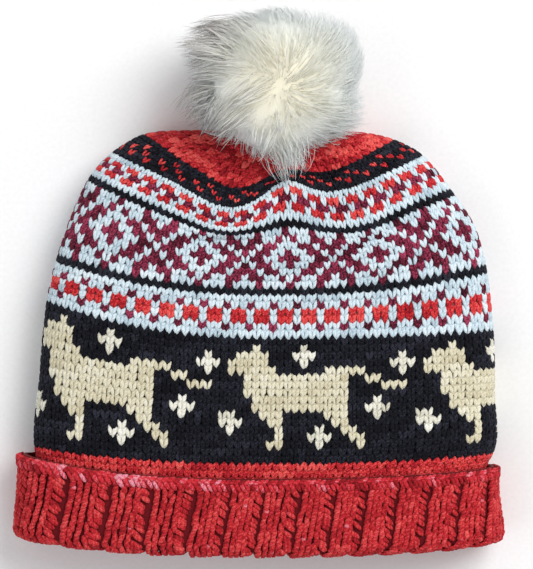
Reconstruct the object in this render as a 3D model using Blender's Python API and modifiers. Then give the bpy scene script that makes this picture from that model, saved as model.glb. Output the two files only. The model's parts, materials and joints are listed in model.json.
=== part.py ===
"""A knitted hat with a folded ribbed cuff, a patterned body and a faux-fur pompom.

The hat lies on its back on the plane Z = 0: its front faces up (+Z), its mouth opens towards -Y
and its crown, with the pompom, points to +Y. Lengths are metres. The shape is worked out upwards
from the cuff's fold, and the finished pieces are centred on X = 0, Y = 0 at the end.
"""
import math
from collections import namedtuple

import bmesh
import bpy
import numpy as np
from mathutils import Vector
from mathutils.bvhtree import BVHTree

OBJECT_NAME = "knitted_pompom_hat"

# The cuff: two-by-two rib, folded up once
CUFF_HEIGHT = 0.0400            # from the fold to the cast-on edge, at the front
CUFF_WALL = 0.0052
LEG_GAP = 0.0008                # between the two legs of the fold
CUFF_FLARE = 0.0045             # how far the fold stands out past the body, beyond its own walls
FLAP_STAND = 0.0012             # how far the cast-on edge stands off the body
RIB_PAIRS = 30                  # pairs of a knit and a purl rib round the cuff
STITCHES_PER_PAIR = 4
RIB_DEPTH = 0.0019
RIB_LEAN = 1.2                  # stitches that a rib drifts between the fold and the edge

# The knitted body: a tube that lies flat and a little puffed
BODY_LENGTH = 0.2226            # from the cuff's fold to the top of the crown
BODY_WIDTH = 0.2440             # across the tube, where it leaves the cuff
BODY_PUFF = 0.0450              # height of the lying tube's front above the ground
BODY_WALL = 0.0045              # stranded knitting is two yarns thick
BODY_COLUMNS = RIB_PAIRS * STITCHES_PER_PAIR // 2   # a facet for every second stitch
SEAM_GAP = 0.0005               # between the body's lower edge and the cuff's inner leg
GATHERS = 10                    # pleats where the crown is drawn together
GATHER_DEPTH = 0.0016
GATHER_FIRST_ROW = 46.0
GATHER_BEHIND = 0.2             # share of the pleats' depth that is left on the pressed back

# The pompom: locks of fur round a ball that is tied to the crown
BALL_RADIUS = 0.0300
FUR_RADIUS = 0.0468
FUR_RISE = 0.0440               # how far the fur stands up from the ball's middle
FUR_FULLNESS = 0.5              # under 1, the fur keeps its breadth above and below its middle
TIE_GAP = 0.0006                # between the ball and the crown
FUR_GAP = 0.0009                # between a lock and the crown that it lies on
TIE_SLOPE = math.radians(40)    # the tie's rise from the crown towards the front
LOCK_COUNT = 78
LOCK_ROOT_RADIUS = 0.0112
LOCK_TIP_RADIUS = 0.0014
LOCK_ROOT_DEPTH = 0.55          # share of the ball's radius where a lock starts
LOCK_SWIRL = math.radians(30)   # how far a lock sweeps round towards its tip
LOCK_BEND = 0.8                 # share of its length where a lock starts to sweep round
LOCK_SIDES = 5
LOCK_SECTIONS = 4
BALL_SEGMENTS = 20
BARE_SIDE = -0.72               # locks pointing more than this towards the crown are left out
GOLDEN_ANGLE = math.pi * (3.0 - math.sqrt(5.0))

# How the tube's section turns from its front to its back
SIDE_POWER = 6.0                # a high power makes a flat tube with round sides
SIDE_LEVEL = 0.42               # height of the widest place, as a share of the section's height
BACK_POWER = 0.6
BACK_PRESS = 1.25               # over 1, the back lies flat on the ground
SMILE_POWER = 2.2               # how late the rounds rise towards the sides
FRONT_TIGHT = 0.05              # stitches are this much narrower in the middle than on average
SECTION_SAMPLES = 1440
TINY = 1e-6                     # keeps a flat section from dividing by nothing

# Heights at the four sides of a round: its left side, its front, its right side and its back.
Sides = namedtuple("Sides", "left front right back")
FOLD_UP = Sides(0.036, 0.0, 0.026, 0.022)       # the fold, as shares of the body's length
CAST_ON_UP = Sides(1.10, 1.0, 0.99, 1.02)       # above the fold, as shares of the cuff's height
SEAM_UP = Sides(0.87, 0.81, 0.79, 0.85)         # the body's lower edge, as the same shares
FLAP_MIDDLE = 0.55                              # the flap's middle round, as the same share
FOLD_ANGLES = (math.radians(-55), 0.0, math.radians(55))

# Rounds of the body, from its lower edge to the crown's middle. knit_row counts the rows of
# knitting. left and right are shares of half the body's width. The up columns are shares of the
# length from the body's lower edge to the crown's top. top and bottom are shares of the puff, and
# on_flap is how much of the folded cuff's thickness the round lies on.
Round = namedtuple("Round", "knit_row left right up_left up_front up_right up_back top bottom on_flap")
BODY_ROUNDS = (
    Round(0.0, 0.957, 0.975, 0.000, 0.000, 0.000, 0.000, 1.000, 0.000, 1.00),
    Round(2.0, 0.960, 0.985, 0.037, 0.041, 0.042, 0.045, 0.995, 0.000, 0.97),
    Round(4.0, 0.970, 1.015, 0.074, 0.082, 0.082, 0.091, 0.990, 0.000, 0.80),
    Round(12.5, 0.949, 1.023, 0.277, 0.254, 0.252, 0.279, 0.960, 0.000, 0.00),
    Round(21.0, 0.897, 1.017, 0.502, 0.426, 0.433, 0.497, 0.940, 0.000, 0.00),
    Round(27.5, 0.846, 0.987, 0.627, 0.552, 0.607, 0.661, 0.950, 0.000, 0.00),
    Round(32.5, 0.769, 0.936, 0.754, 0.642, 0.727, 0.800, 0.970, 0.000, 0.00),
    Round(37.5, 0.676, 0.838, 0.864, 0.732, 0.826, 0.909, 0.960, 0.000, 0.00),
    Round(43.0, 0.569, 0.710, 0.937, 0.825, 0.930, 0.982, 0.900, 0.010, 0.00),
    Round(48.0, 0.441, 0.582, 0.990, 0.867, 0.975, 0.998, 0.820, 0.050, 0.00),
    Round(52.5, 0.292, 0.454, 1.000, 0.912, 0.994, 1.000, 0.720, 0.140, 0.00),
    Round(57.5, 0.113, 0.283, 1.000, 0.960, 0.998, 1.000, 0.600, 0.280, 0.00),
    Round(61.0, -0.087, 0.087, 0.991, 0.991, 0.991, 0.991, 0.430, 0.430, 0.00),
)
BODY_MESH_ROWS = (0.0, 2.0, 4.0, 8.25, 12.5, 16.75, 21.0, 24.25, 27.5, 30.0, 32.5, 35.0, 37.5,
                  40.25, 43.0, 45.5, 48.0, 50.25, 52.5, 55.0, 57.5, 59.5)

# Soft folds of the front. across is a share of half the body's width from the middle, up a share
# of the body's length from the cuff's fold, and the reach columns are the fold's half sizes in the
# same shares. sag pulls the knitting towards the mouth, a share of the length, and lift raises it,
# a share of the puff.
Fold = namedtuple("Fold", "across up reach_across reach_up sag lift")
BODY_FOLDS = (
    Fold(-0.14, 0.845, 0.18, 0.090, 0.040, 0.10),     # left crown lobe
    Fold(0.12, 0.845, 0.10, 0.070, -0.034, -0.06),    # valley between the lobes
    Fold(0.42, 0.800, 0.20, 0.080, 0.024, 0.07),      # right crown lobe
    Fold(-0.15, 0.745, 0.13, 0.020, 0.000, -0.09),    # tuck under the left lobe
    Fold(0.30, 0.905, 0.07, 0.030, 0.000, -0.16),     # deep crease beside the pompom
)

# Outline of the fur seen from the front: the angle from +X towards the crown's top, in degrees,
# and how far the fur reaches from the ball's middle, as a share of the fur's radius.
Reach = namedtuple("Reach", "angle share")
FUR_OUTLINE = (
    Reach(0, 0.93), Reach(25, 1.05), Reach(60, 0.98), Reach(90, 0.92), Reach(127, 1.03),
    Reach(153, 1.09), Reach(174, 1.06), Reach(196, 1.02), Reach(221, 0.98), Reach(252, 0.96),
    Reach(286, 1.06), Reach(318, 1.00), Reach(336, 1.08), Reach(360, 0.93),
)

Finish = namedtuple("Finish", "colour roughness")
STRANDED_WOOL = Finish((0.011, 0.012, 0.020), 0.90)
RIB_WOOL = Finish((0.434, 0.013, 0.018), 0.85)
FAUX_FUR = Finish((0.80, 0.82, 0.78), 0.95)


def remove_everything():
    """Empty the scene of the objects that it starts with."""
    for item in list(bpy.data.objects):
        bpy.data.objects.remove(item, do_unlink=True)


def add_collection(name):
    """A new collection under the scene's own."""
    made = bpy.data.collections.new(name)
    bpy.context.scene.collection.children.link(made)
    return made


def yarn_material(name, finish):
    """A plain Principled material in the piece's finish."""
    made = bpy.data.materials.new(name)
    made.use_nodes = True
    shader = made.node_tree.nodes["Principled BSDF"]
    shader.inputs["Base Color"].default_value = (*finish.colour, 1.0)
    shader.inputs["Roughness"].default_value = finish.roughness
    shader.inputs["Metallic"].default_value = 0.0
    return made


def smooth_value(rows, values, row):
    """A smooth curve through the table's values: cubic pieces that share the slopes between them."""
    slopes = np.gradient(values, rows)
    index = int(np.clip(np.searchsorted(rows, row, side="right") - 1, 0, len(rows) - 2))
    span = rows[index + 1] - rows[index]
    t = (row - rows[index]) / span
    start, end = values[index], values[index + 1]
    start_slope, end_slope = slopes[index] * span, slopes[index + 1] * span
    return ((2 * t**3 - 3 * t**2 + 1) * start + (t**3 - 2 * t**2 + t) * start_slope
            + (3 * t**2 - 2 * t**3) * end + (t**3 - t**2) * end_slope)


def round_at(row):
    """The round at any knit row, each column read smoothly from the table."""
    table = np.array(BODY_ROUNDS)
    columns = [smooth_value(table[:, 0], table[:, i], row) for i in range(1, table.shape[1])]
    return Round(row, *columns)


def fold_line():
    """Y of the cuff's fold at its four sides."""
    return Sides(*(BODY_LENGTH * up for up in FOLD_UP))


def above_fold(shares):
    """Y at the four sides, for shares of the cuff's height above its fold."""
    return Sides(*(low + CUFF_HEIGHT * share for low, share in zip(fold_line(), shares)))


def between(low, high, share):
    """Y at the four sides, part of the way from one line to another."""
    return Sides(*(a + (b - a) * share for a, b in zip(low, high)))


def flap_thickness():
    """How much the folded flap lifts the body off the ground: its wall and the gap over it."""
    return CUFF_WALL + LEG_GAP


def round_heights(level):
    """Lowest and highest Z of a round."""
    bottom = BODY_PUFF * max(level.bottom, 0.0) + flap_thickness() * max(level.on_flap, 0.0)
    return bottom, BODY_PUFF * level.top


def section_points(left, right, heights, ups, places):
    """Points round one section of the lying tube, at the given places from 0 to 1.

    left and right are the X of its sides, heights its lowest and highest Z, and ups its Y at the
    four sides. Place 0 is the left side, 0.25 the front and 0.75 the back. The section is a
    superellipse whose lower half is pressed flat, measured off by its own length.
    """
    bottom, top = heights
    turn = math.pi * (1.0 - 2.0 * np.arange(SECTION_SAMPLES + 1) / SECTION_SAMPLES)
    across = np.sign(np.cos(turn)) * np.abs(np.cos(turn)) ** (2.0 / SIDE_POWER)
    rise = np.sin(turn)
    side_z = bottom + SIDE_LEVEL * (top - bottom)
    pressed = np.minimum(1.0, BACK_PRESS * np.abs(rise) ** BACK_POWER)
    x = (left + right) / 2 + (right - left) / 2 * across
    z = np.where(rise >= 0, side_z + (top - side_z) * rise, side_z - (side_z - bottom) * pressed)
    side_up = np.where(across < 0, ups.left, ups.right)
    middle_up = np.where(rise >= 0, ups.front, ups.back)
    y = middle_up + (side_up - middle_up) * np.abs(across) ** SMILE_POWER
    points = np.column_stack((x, y, z))
    steps = np.linalg.norm(np.diff(points, axis=0), axis=1)
    along = np.concatenate(([0.0], np.cumsum(steps)))
    wanted = places + FRONT_TIGHT / (4 * math.pi) * np.sin(4 * math.pi * places)
    wanted = (wanted % 1.0) * along[-1]
    return np.column_stack([np.interp(wanted, along, points[:, i]) for i in range(3)])


def body_section(row, places):
    """The body's outer points at a knit row, with its folds and pleats."""
    level = round_at(row)
    half_width = BODY_WIDTH / 2
    shares = (level.up_left, level.up_front, level.up_right, level.up_back)
    ups = Sides(*(low + (BODY_LENGTH - low) * share
                  for low, share in zip(above_fold(SEAM_UP), shares)))
    heights = round_heights(level)
    points = section_points(-half_width * level.left, half_width * level.right, heights, ups, places)
    side_z = heights[0] + SIDE_LEVEL * (heights[1] - heights[0])
    front = np.clip((points[:, 2] - side_z) / max(heights[1] - side_z, TINY), 0.0, 1.0)
    return fold_points(points, front) + pleats(points, front, row, places)


def fold_points(points, front):
    """The points moved by the soft folds, which fade out from the front to the sides."""
    across = points[:, 0] / (BODY_WIDTH / 2)
    up = points[:, 1] / BODY_LENGTH
    moved = points.copy()
    for fold in BODY_FOLDS:
        distance = ((across - fold.across) / fold.reach_across) ** 2
        distance += ((up - fold.up) / fold.reach_up) ** 2
        amount = np.exp(-distance) * front
        moved[:, 1] -= fold.sag * BODY_LENGTH * amount
        moved[:, 2] += fold.lift * BODY_PUFF * amount
    return moved


def pleats(points, front, row, places):
    """How far the drawn-up crown's pleats stand out from its rounds."""
    last_row = BODY_ROUNDS[-1].knit_row
    drawn = np.clip((row - GATHER_FIRST_ROW) / (last_row - GATHER_FIRST_ROW), 0.0, 1.0)
    depth = GATHER_DEPTH * math.sin(math.pi * drawn) * np.cos(2 * math.pi * GATHERS * places)
    outward = points - points.mean(axis=0)
    outward /= np.maximum(np.linalg.norm(outward, axis=1, keepdims=True), TINY)
    return outward * (depth * np.maximum(front, GATHER_BEHIND))[:, None]


def loft_mesh(name, rounds, pole=None, cap_first=False):
    """Quads between rounds of points, closed round. A pole closes the last, a cap the first."""
    count = len(rounds[0])
    builder = bmesh.new()
    rings = [[builder.verts.new(point) for point in points] for points in rounds]
    for lower, upper in zip(rings, rings[1:]):
        for i in range(count):
            j = (i + 1) % count
            builder.faces.new((lower[i], lower[j], upper[j], upper[i]))
    if pole is not None:
        tip = builder.verts.new(pole)
        for i in range(count):
            builder.faces.new((rings[-1][i], rings[-1][(i + 1) % count], tip))
    if cap_first:
        builder.faces.new(list(reversed(rings[0])))
    made = bpy.data.meshes.new(name)
    builder.to_mesh(made)
    builder.free()
    return made


def add_object(name, mesh, group, material):
    """An object with its mesh and material, in a collection."""
    made = bpy.data.objects.new(name, mesh)
    made.data.materials.append(material)
    made.data.shade_smooth()
    group.objects.link(made)
    return made


def add_wall(item, thickness, offset):
    """Give an open surface its wall with Solidify. Offset -1 grows it inwards, 0 both ways."""
    wall = item.modifiers.new("wall", "SOLIDIFY")
    wall.thickness = thickness
    wall.offset = offset
    wall.use_rim = True


def make_body(group):
    """The patterned tube and crown: rounds lofted from the table, with an inward wall."""
    places = np.arange(BODY_COLUMNS) / BODY_COLUMNS
    rounds = [body_section(row, places) for row in BODY_MESH_ROWS]
    pole = body_section(BODY_ROUNDS[-1].knit_row, places).mean(axis=0)
    material = yarn_material("stranded_wool", STRANDED_WOOL)
    item = add_object("knit_body", loft_mesh("knit_body", rounds, pole), group, material)
    add_wall(item, BODY_WALL, -1.0)
    return item


def cuff_section(outset, ups, lean, rib_out):
    """One round of the cuff's sheet.

    outset is its distance outside the body's skin, ups its Y at the four sides, lean the drift of
    its columns in stitches and rib_out how far its knit columns stand out.
    """
    columns = RIB_PAIRS * STITCHES_PER_PAIR
    seam = round_at(BODY_ROUNDS[0].knit_row)
    half_width = BODY_WIDTH / 2
    height_share = (ups.front - fold_line().front) / CUFF_HEIGHT
    spread = outset + CUFF_FLARE * (1.0 - np.clip(height_share, 0.0, 1.0))
    bottom, top = round_heights(seam)
    places = (np.arange(columns) + lean) / columns
    points = section_points(-half_width * seam.left - spread, half_width * seam.right + spread,
                            (bottom - outset, top + outset), ups, places)
    knit = np.arange(columns) % STITCHES_PER_PAIR < STITCHES_PER_PAIR / 2
    around = np.roll(points, -1, axis=0) - np.roll(points, 1, axis=0)
    outward = np.column_stack((-around[:, 2], np.zeros(columns), around[:, 0]))
    outward /= np.linalg.norm(outward, axis=1, keepdims=True)
    points += outward * (rib_out * knit)[:, None]
    points[:, 2] = np.maximum(points[:, 2], CUFF_WALL / 2)
    return points


def make_cuff(group):
    """The rib: a sheet carried down the inner leg, round the fold and up the flap."""
    fold = fold_line()
    cast_on = above_fold(CAST_ON_UP)
    inner_top = Sides(*(up - SEAM_GAP for up in above_fold(SEAM_UP)))
    fold_radius = (CUFF_WALL + LEG_GAP) / 2
    rounds = [cuff_section(-CUFF_WALL / 2, inner_top, 0.0, 0.0)]
    for angle in FOLD_ANGLES:
        outset = LEG_GAP / 2 + fold_radius * math.sin(angle)
        rise = CUFF_WALL / 2 + fold_radius * (1.0 - math.cos(angle))
        rib_out = RIB_DEPTH * max(0.0, math.sin(angle))
        rounds.append(cuff_section(outset, Sides(*(y + rise for y in fold)), 0.0, rib_out))
    flap_outset = LEG_GAP + CUFF_WALL / 2
    for share, stand in ((FLAP_MIDDLE, 0.0), (1.0, FLAP_STAND)):
        ups = between(fold, cast_on, share)
        rounds.append(cuff_section(flap_outset + stand, ups, RIB_LEAN * share, RIB_DEPTH))
    material = yarn_material("rib_wool", RIB_WOOL)
    item = add_object("ribbed_cuff", loft_mesh("ribbed_cuff", rounds), group, material)
    add_wall(item, CUFF_WALL, 0.0)
    return item


def seat_distance(points, pole, tie):
    """How far along the tie the ball's centre lies, so that it just clears every crown point."""
    offset = points - np.array(pole)
    along = offset @ np.array(tie)
    beside = np.maximum((offset**2).sum(axis=1) - along**2, 0.0)
    reach = BALL_RADIUS + TIE_GAP
    near = beside < reach**2
    return float((along[near] + np.sqrt(reach**2 - beside[near])).max())


def fur_tip(centre, direction):
    """Where a lock ends: on the fur's outline, which stays broad above and below its middle."""
    level = math.hypot(direction.x, direction.y)
    angle = math.degrees(math.atan2(direction.y, direction.x)) % 360
    share = float(np.interp(angle, [row.angle for row in FUR_OUTLINE],
                            [row.share for row in FUR_OUTLINE]))
    breadth = FUR_RADIUS * share * level ** (FUR_FULLNESS - 1.0)
    return centre + Vector((direction.x * breadth, direction.y * breadth, direction.z * FUR_RISE))


def clear_of_crown(point, radius, crown):
    """The point, moved out of the crown's skin and off the ground by a lock's own radius."""
    place, normal, _, _ = crown.find_nearest(point)
    if (point - place).dot(normal) < radius + FUR_GAP:
        point = place + normal * (radius + FUR_GAP)
    return Vector((point.x, point.y, max(point.z, radius)))


def lock_mesh(direction, centre, crown):
    """A tapered, curved lock: it leaves the ball along its direction and sweeps round to its tip."""
    cosine, sine = math.cos(LOCK_SWIRL), math.sin(LOCK_SWIRL)
    swept = Vector((direction.x * cosine - direction.y * sine,
                    direction.x * sine + direction.y * cosine, direction.z))
    root = centre + direction * (BALL_RADIUS * LOCK_ROOT_DEPTH)
    tip = fur_tip(centre, swept)
    bend = centre + direction * (tip - centre).length * LOCK_BEND
    side = (bend - root).cross(tip - bend).normalized()
    turns = [2 * math.pi * k / LOCK_SIDES for k in range(LOCK_SIDES)]
    rounds = []
    for step in range(LOCK_SECTIONS):
        t = step / LOCK_SECTIONS
        radius = LOCK_ROOT_RADIUS + (LOCK_TIP_RADIUS - LOCK_ROOT_RADIUS) * t**2
        middle = root * (1 - t) ** 2 + bend * (2 * t * (1 - t)) + tip * t**2
        middle = clear_of_crown(middle, radius, crown)
        heading = ((bend - root) * (1 - t) + (tip - bend) * t).normalized()
        other = heading.cross(side)
        rounds.append([middle + (side * math.cos(a) + other * math.sin(a)) * radius for a in turns])
    return loft_mesh("lock", rounds, clear_of_crown(tip, LOCK_TIP_RADIUS, crown), cap_first=True)


def ball_mesh(centre):
    """The pompom's ball, in its place."""
    builder = bmesh.new()
    bmesh.ops.create_uvsphere(builder, u_segments=BALL_SEGMENTS, v_segments=BALL_SEGMENTS // 2,
                              radius=BALL_RADIUS)
    bmesh.ops.translate(builder, verts=builder.verts, vec=centre)
    made = bpy.data.meshes.new("fur_pompom")
    builder.to_mesh(made)
    builder.free()
    return made


def make_pompom(group, cutters, body):
    """The ball seated on the crown's middle, and its locks, joined into one body."""
    skin = body.data
    points = np.array([vertex.co for vertex in skin.vertices])
    crown = BVHTree.FromPolygons([v.co for v in skin.vertices], [p.vertices for p in skin.polygons])
    pole = Vector(points[-1])
    tie = Vector((0.0, math.cos(TIE_SLOPE), math.sin(TIE_SLOPE)))
    centre = pole + tie * seat_distance(points, pole, tie)
    material = yarn_material("faux_fur", FAUX_FUR)
    pompom = add_object("fur_pompom", ball_mesh(centre), group, material)
    for index in range(LOCK_COUNT):
        height = 1.0 - 2.0 * (index + 0.5) / LOCK_COUNT
        level = math.sqrt(1.0 - height**2)
        turn = index * GOLDEN_ANGLE
        direction = Vector((level * math.cos(turn), level * math.sin(turn), height))
        if direction.dot(tie) < BARE_SIDE:
            continue
        lock = add_object(f"lock_{index:02d}", lock_mesh(direction, centre, crown), cutters, material)
        lock.hide_render = True
        lock.display_type = "WIRE"
    union = pompom.modifiers.new("locks", "BOOLEAN")
    union.operation = "UNION"
    union.solver = "EXACT"
    union.operand_type = "COLLECTION"
    union.collection = cutters
    return pompom


def centre_on_ground(pieces):
    """Move everything so that the pieces' common box is centred on X and Y and stands on Z = 0."""
    graph = bpy.context.evaluated_depsgraph_get()
    points = np.concatenate([[vertex.co for vertex in piece.evaluated_get(graph).data.vertices]
                             for piece in pieces])
    low, high = points.min(axis=0), points.max(axis=0)
    shift = Vector((-(low[0] + high[0]) / 2, -(low[1] + high[1]) / 2, -low[2]))
    for item in bpy.data.objects:
        item.location = shift


remove_everything()
hat_group = add_collection(OBJECT_NAME)
cutter_group = add_collection("cutters")
knit_body = make_body(hat_group)
ribbed_cuff = make_cuff(hat_group)
fur_pompom = make_pompom(hat_group, cutter_group, knit_body)
centre_on_ground((knit_body, ribbed_cuff, fur_pompom))
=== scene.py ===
# %% [markdown]
# # A knitted hat with a folded ribbed cuff and a fur pompom
#
# The real hat is knitted by hand in medium wool: a two-by-two ribbed cuff that is folded up once, a
# body in stranded colourwork, a crown that is drawn together, and a faux-fur pompom tied to its
# middle. It lies on its back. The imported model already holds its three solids. This notebook
# dresses them, and it lays every stitch on the surface that the solids were lofted from, so that
# looks and solids agree from all sides.

# %% Load the solids
import json
import math
from collections import namedtuple

import bpy
import numpy as np
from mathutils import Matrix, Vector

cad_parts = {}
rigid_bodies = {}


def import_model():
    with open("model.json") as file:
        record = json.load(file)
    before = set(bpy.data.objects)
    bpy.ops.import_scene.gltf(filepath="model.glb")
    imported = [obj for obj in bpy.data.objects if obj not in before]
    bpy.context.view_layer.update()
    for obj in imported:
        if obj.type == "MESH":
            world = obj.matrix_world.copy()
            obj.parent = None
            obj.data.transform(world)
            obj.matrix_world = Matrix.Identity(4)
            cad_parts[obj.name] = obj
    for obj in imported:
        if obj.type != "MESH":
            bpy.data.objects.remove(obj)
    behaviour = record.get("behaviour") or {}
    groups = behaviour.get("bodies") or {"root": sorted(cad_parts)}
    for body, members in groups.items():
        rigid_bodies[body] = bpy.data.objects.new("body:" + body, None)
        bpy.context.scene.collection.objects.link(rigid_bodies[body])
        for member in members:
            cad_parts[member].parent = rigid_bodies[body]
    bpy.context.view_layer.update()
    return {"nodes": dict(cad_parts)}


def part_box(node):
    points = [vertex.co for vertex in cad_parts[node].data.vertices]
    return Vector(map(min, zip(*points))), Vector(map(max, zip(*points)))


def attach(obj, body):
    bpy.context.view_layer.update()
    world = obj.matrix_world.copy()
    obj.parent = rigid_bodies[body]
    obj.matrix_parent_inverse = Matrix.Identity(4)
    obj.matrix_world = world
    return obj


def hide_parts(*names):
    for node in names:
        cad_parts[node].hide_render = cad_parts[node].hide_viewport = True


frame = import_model()
print("solids:", sorted(frame["nodes"]))

# %% [markdown]
# ## The hat's own sizes
#
# The solids were worked out from a few named sizes and a table of rounds. The same numbers are
# written here again, because the stitches have to follow the same rounds. Lengths are metres, and
# shares are shares of a named size.

# %% Sizes of the cuff and the body
CUFF_HEIGHT = 0.0400
CUFF_WALL = 0.0052
LEG_GAP = 0.0008                # between the cuff's inner leg and its flap
CUFF_FLARE = 0.0045             # how far the cuff widens towards its fold
FLAP_STAND = 0.0012             # how far the flap's upper edge stands off
RIB_PAIRS = 30
STITCHES_PER_PAIR = 4
BODY_LENGTH = 0.2226
BODY_WIDTH = 0.2440
BODY_PUFF = 0.0450
BODY_WALL = 0.0045
SEAM_GAP = 0.0005
GATHERS = 10                    # pleats round the crown
GATHER_DEPTH = 0.0016
GATHER_FIRST_ROW = 46.0
GATHER_BEHIND = 0.2             # a pleat's share of its depth on the hat's back
SIDE_POWER = 6.0                # how square the sides of a section are
SIDE_LEVEL = 0.42               # how high up a section is widest
BACK_POWER = 0.6
BACK_PRESS = 1.25               # how flat the ground presses the back
SMILE_POWER = 2.2               # how late the bands bend upwards at the sides
FRONT_TIGHT = 0.05              # how much closer the stitches lie at the sides than in the middle
SECTION_SAMPLES = 1440
TINY = 1e-6

Sides = namedtuple("Sides", "left front right back")
FOLD_UP = Sides(0.036, 0.0, 0.026, 0.022)
CAST_ON_UP = Sides(1.10, 1.0, 0.99, 1.02)
SEAM_UP = Sides(0.87, 0.81, 0.79, 0.85)

Round = namedtuple("Round", "knit_row left right up_left up_front up_right up_back top bottom on_flap")
BODY_ROUNDS = (
    Round(0.0, 0.957, 0.975, 0.000, 0.000, 0.000, 0.000, 1.000, 0.000, 1.00),
    Round(2.0, 0.960, 0.985, 0.037, 0.041, 0.042, 0.045, 0.995, 0.000, 0.97),
    Round(4.0, 0.970, 1.015, 0.074, 0.082, 0.082, 0.091, 0.990, 0.000, 0.80),
    Round(12.5, 0.949, 1.023, 0.277, 0.254, 0.252, 0.279, 0.960, 0.000, 0.00),
    Round(21.0, 0.897, 1.017, 0.502, 0.426, 0.433, 0.497, 0.940, 0.000, 0.00),
    Round(27.5, 0.846, 0.987, 0.627, 0.552, 0.607, 0.661, 0.950, 0.000, 0.00),
    Round(32.5, 0.769, 0.936, 0.754, 0.642, 0.727, 0.800, 0.970, 0.000, 0.00),
    Round(37.5, 0.676, 0.838, 0.864, 0.732, 0.826, 0.909, 0.960, 0.000, 0.00),
    Round(43.0, 0.569, 0.710, 0.937, 0.825, 0.930, 0.982, 0.900, 0.010, 0.00),
    Round(48.0, 0.441, 0.582, 0.990, 0.867, 0.975, 0.998, 0.820, 0.050, 0.00),
    Round(52.5, 0.292, 0.454, 1.000, 0.912, 0.994, 1.000, 0.720, 0.140, 0.00),
    Round(57.5, 0.113, 0.283, 1.000, 0.960, 0.998, 1.000, 0.600, 0.280, 0.00),
    Round(61.0, -0.087, 0.087, 0.991, 0.991, 0.991, 0.991, 0.430, 0.430, 0.00),
)
LAST_ROW = BODY_ROUNDS[-1].knit_row

Fold = namedtuple("Fold", "across up reach_across reach_up sag lift")
BODY_FOLDS = (
    Fold(-0.14, 0.845, 0.18, 0.090, 0.040, 0.10),
    Fold(0.12, 0.845, 0.10, 0.070, -0.034, -0.06),
    Fold(0.42, 0.800, 0.20, 0.080, 0.024, 0.07),
    Fold(-0.15, 0.745, 0.13, 0.020, 0.000, -0.09),
    Fold(0.30, 0.905, 0.07, 0.030, 0.000, -0.16),
)
print("rounds of the body:", len(BODY_ROUNDS), "knit rows:", LAST_ROW)

# %% [markdown]
# ## A fuller upper left
#
# Soft knitting spreads a little where it lies loose, and the real hat's upper left is fuller than
# its solid. So the surface that carries the stitches is eased outwards on the left: at a few knit
# rows by a share of half the body's width, and along the cuff by a length.

# %% How far the left side is eased outwards
Ease = namedtuple("Ease", "knit_row left")
LEFT_EASE = (
    Ease(12.5, 0.000), Ease(21.0, 0.021), Ease(27.5, 0.028), Ease(32.5, 0.040), Ease(37.5, 0.056),
    Ease(43.0, 0.064), Ease(48.0, 0.052), Ease(52.5, 0.026), Ease(57.5, 0.000),
)
CUFF_LEFT_EASE = 0.0022
print("most ease in mm:", round(max(row.left for row in LEFT_EASE) * BODY_WIDTH / 2 * 1000, 1))

# %% [markdown]
# ## The surface that the stitches lie on
#
# A knitted tube can be made as a deformed grid: one parameter runs round the hat, the other counts
# rows of knitting. A section of the lying tube is a superellipse whose lower half is pressed flat
# by the ground. Places round it are measured off by arc length, because that is what stitches do:
# each takes its own bit of the tube's girth. The whole surface is worked out as arrays.

# %% Rounds and sections as arrays
def unit(vectors):
    """Vectors at a length of one: each divided by its own length."""
    return vectors / np.maximum(np.linalg.norm(vectors, axis=-1, keepdims=True), TINY)


def read_rounds(rows):
    """The table read at many knit rows: cubic pieces that share their slopes where they meet."""
    table = np.array(BODY_ROUNDS)
    knots, values = table[:, 0], table[:, 1:]
    slopes = np.gradient(values, knots, axis=0)
    index = np.clip(np.searchsorted(knots, rows, side="right") - 1, 0, len(knots) - 2)
    span = (knots[index + 1] - knots[index])[:, None]
    t = (rows - knots[index])[:, None] / span
    start, end = values[index], values[index + 1]
    start_slope, end_slope = slopes[index] * span, slopes[index + 1] * span
    read = ((2 * t**3 - 3 * t**2 + 1) * start + (t**3 - 2 * t**2 + t) * start_slope
            + (3 * t**2 - 2 * t**3) * end + (t**3 - t**2) * end_slope)
    return Round(rows, *read.T)


def tube_sections(left, right, bottom, top, ups, places):
    """Points round many sections at once, as an array of section, place and XYZ.

    X is the middle plus half the width times |cos| to the power 2 / SIDE_POWER, Z rises with the
    sine above the widest place and is pressed flat below it, and Y goes from its value at the front
    or back to its value at the sides by the power SMILE_POWER of how far across the point is.
    """
    turn = math.pi * (1.0 - 2.0 * np.arange(SECTION_SAMPLES + 1) / SECTION_SAMPLES)
    across = np.sign(np.cos(turn)) * np.abs(np.cos(turn)) ** (2.0 / SIDE_POWER)
    rise = np.sin(turn)
    left, right, bottom, top = (np.asarray(v, float)[:, None] for v in (left, right, bottom, top))
    side_z = bottom + SIDE_LEVEL * (top - bottom)
    pressed = np.minimum(1.0, BACK_PRESS * np.abs(rise) ** BACK_POWER)
    x = (left + right) / 2 + (right - left) / 2 * across
    z = np.where(rise >= 0, side_z + (top - side_z) * rise, side_z - (side_z - bottom) * pressed)
    side_up = np.where(across < 0, ups.left[:, None], ups.right[:, None])
    middle_up = np.where(rise >= 0, ups.front[:, None], ups.back[:, None])
    y = middle_up + (side_up - middle_up) * np.abs(across) ** SMILE_POWER
    points = np.stack((x, y, z), axis=-1)
    steps = np.linalg.norm(np.diff(points, axis=1), axis=2)
    along = np.concatenate((np.zeros((len(steps), 1)), np.cumsum(steps, axis=1)), axis=1)
    shared = (places + FRONT_TIGHT / (4 * math.pi) * np.sin(4 * math.pi * places)) % 1.0
    wanted = np.broadcast_to(shared, (len(steps), np.shape(shared)[-1])) * along[:, -1:]
    return np.stack([
        np.column_stack([np.interp(w, a, p[:, i]) for i in range(3)])
        for w, a, p in zip(wanted, along, points)
    ])


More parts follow.
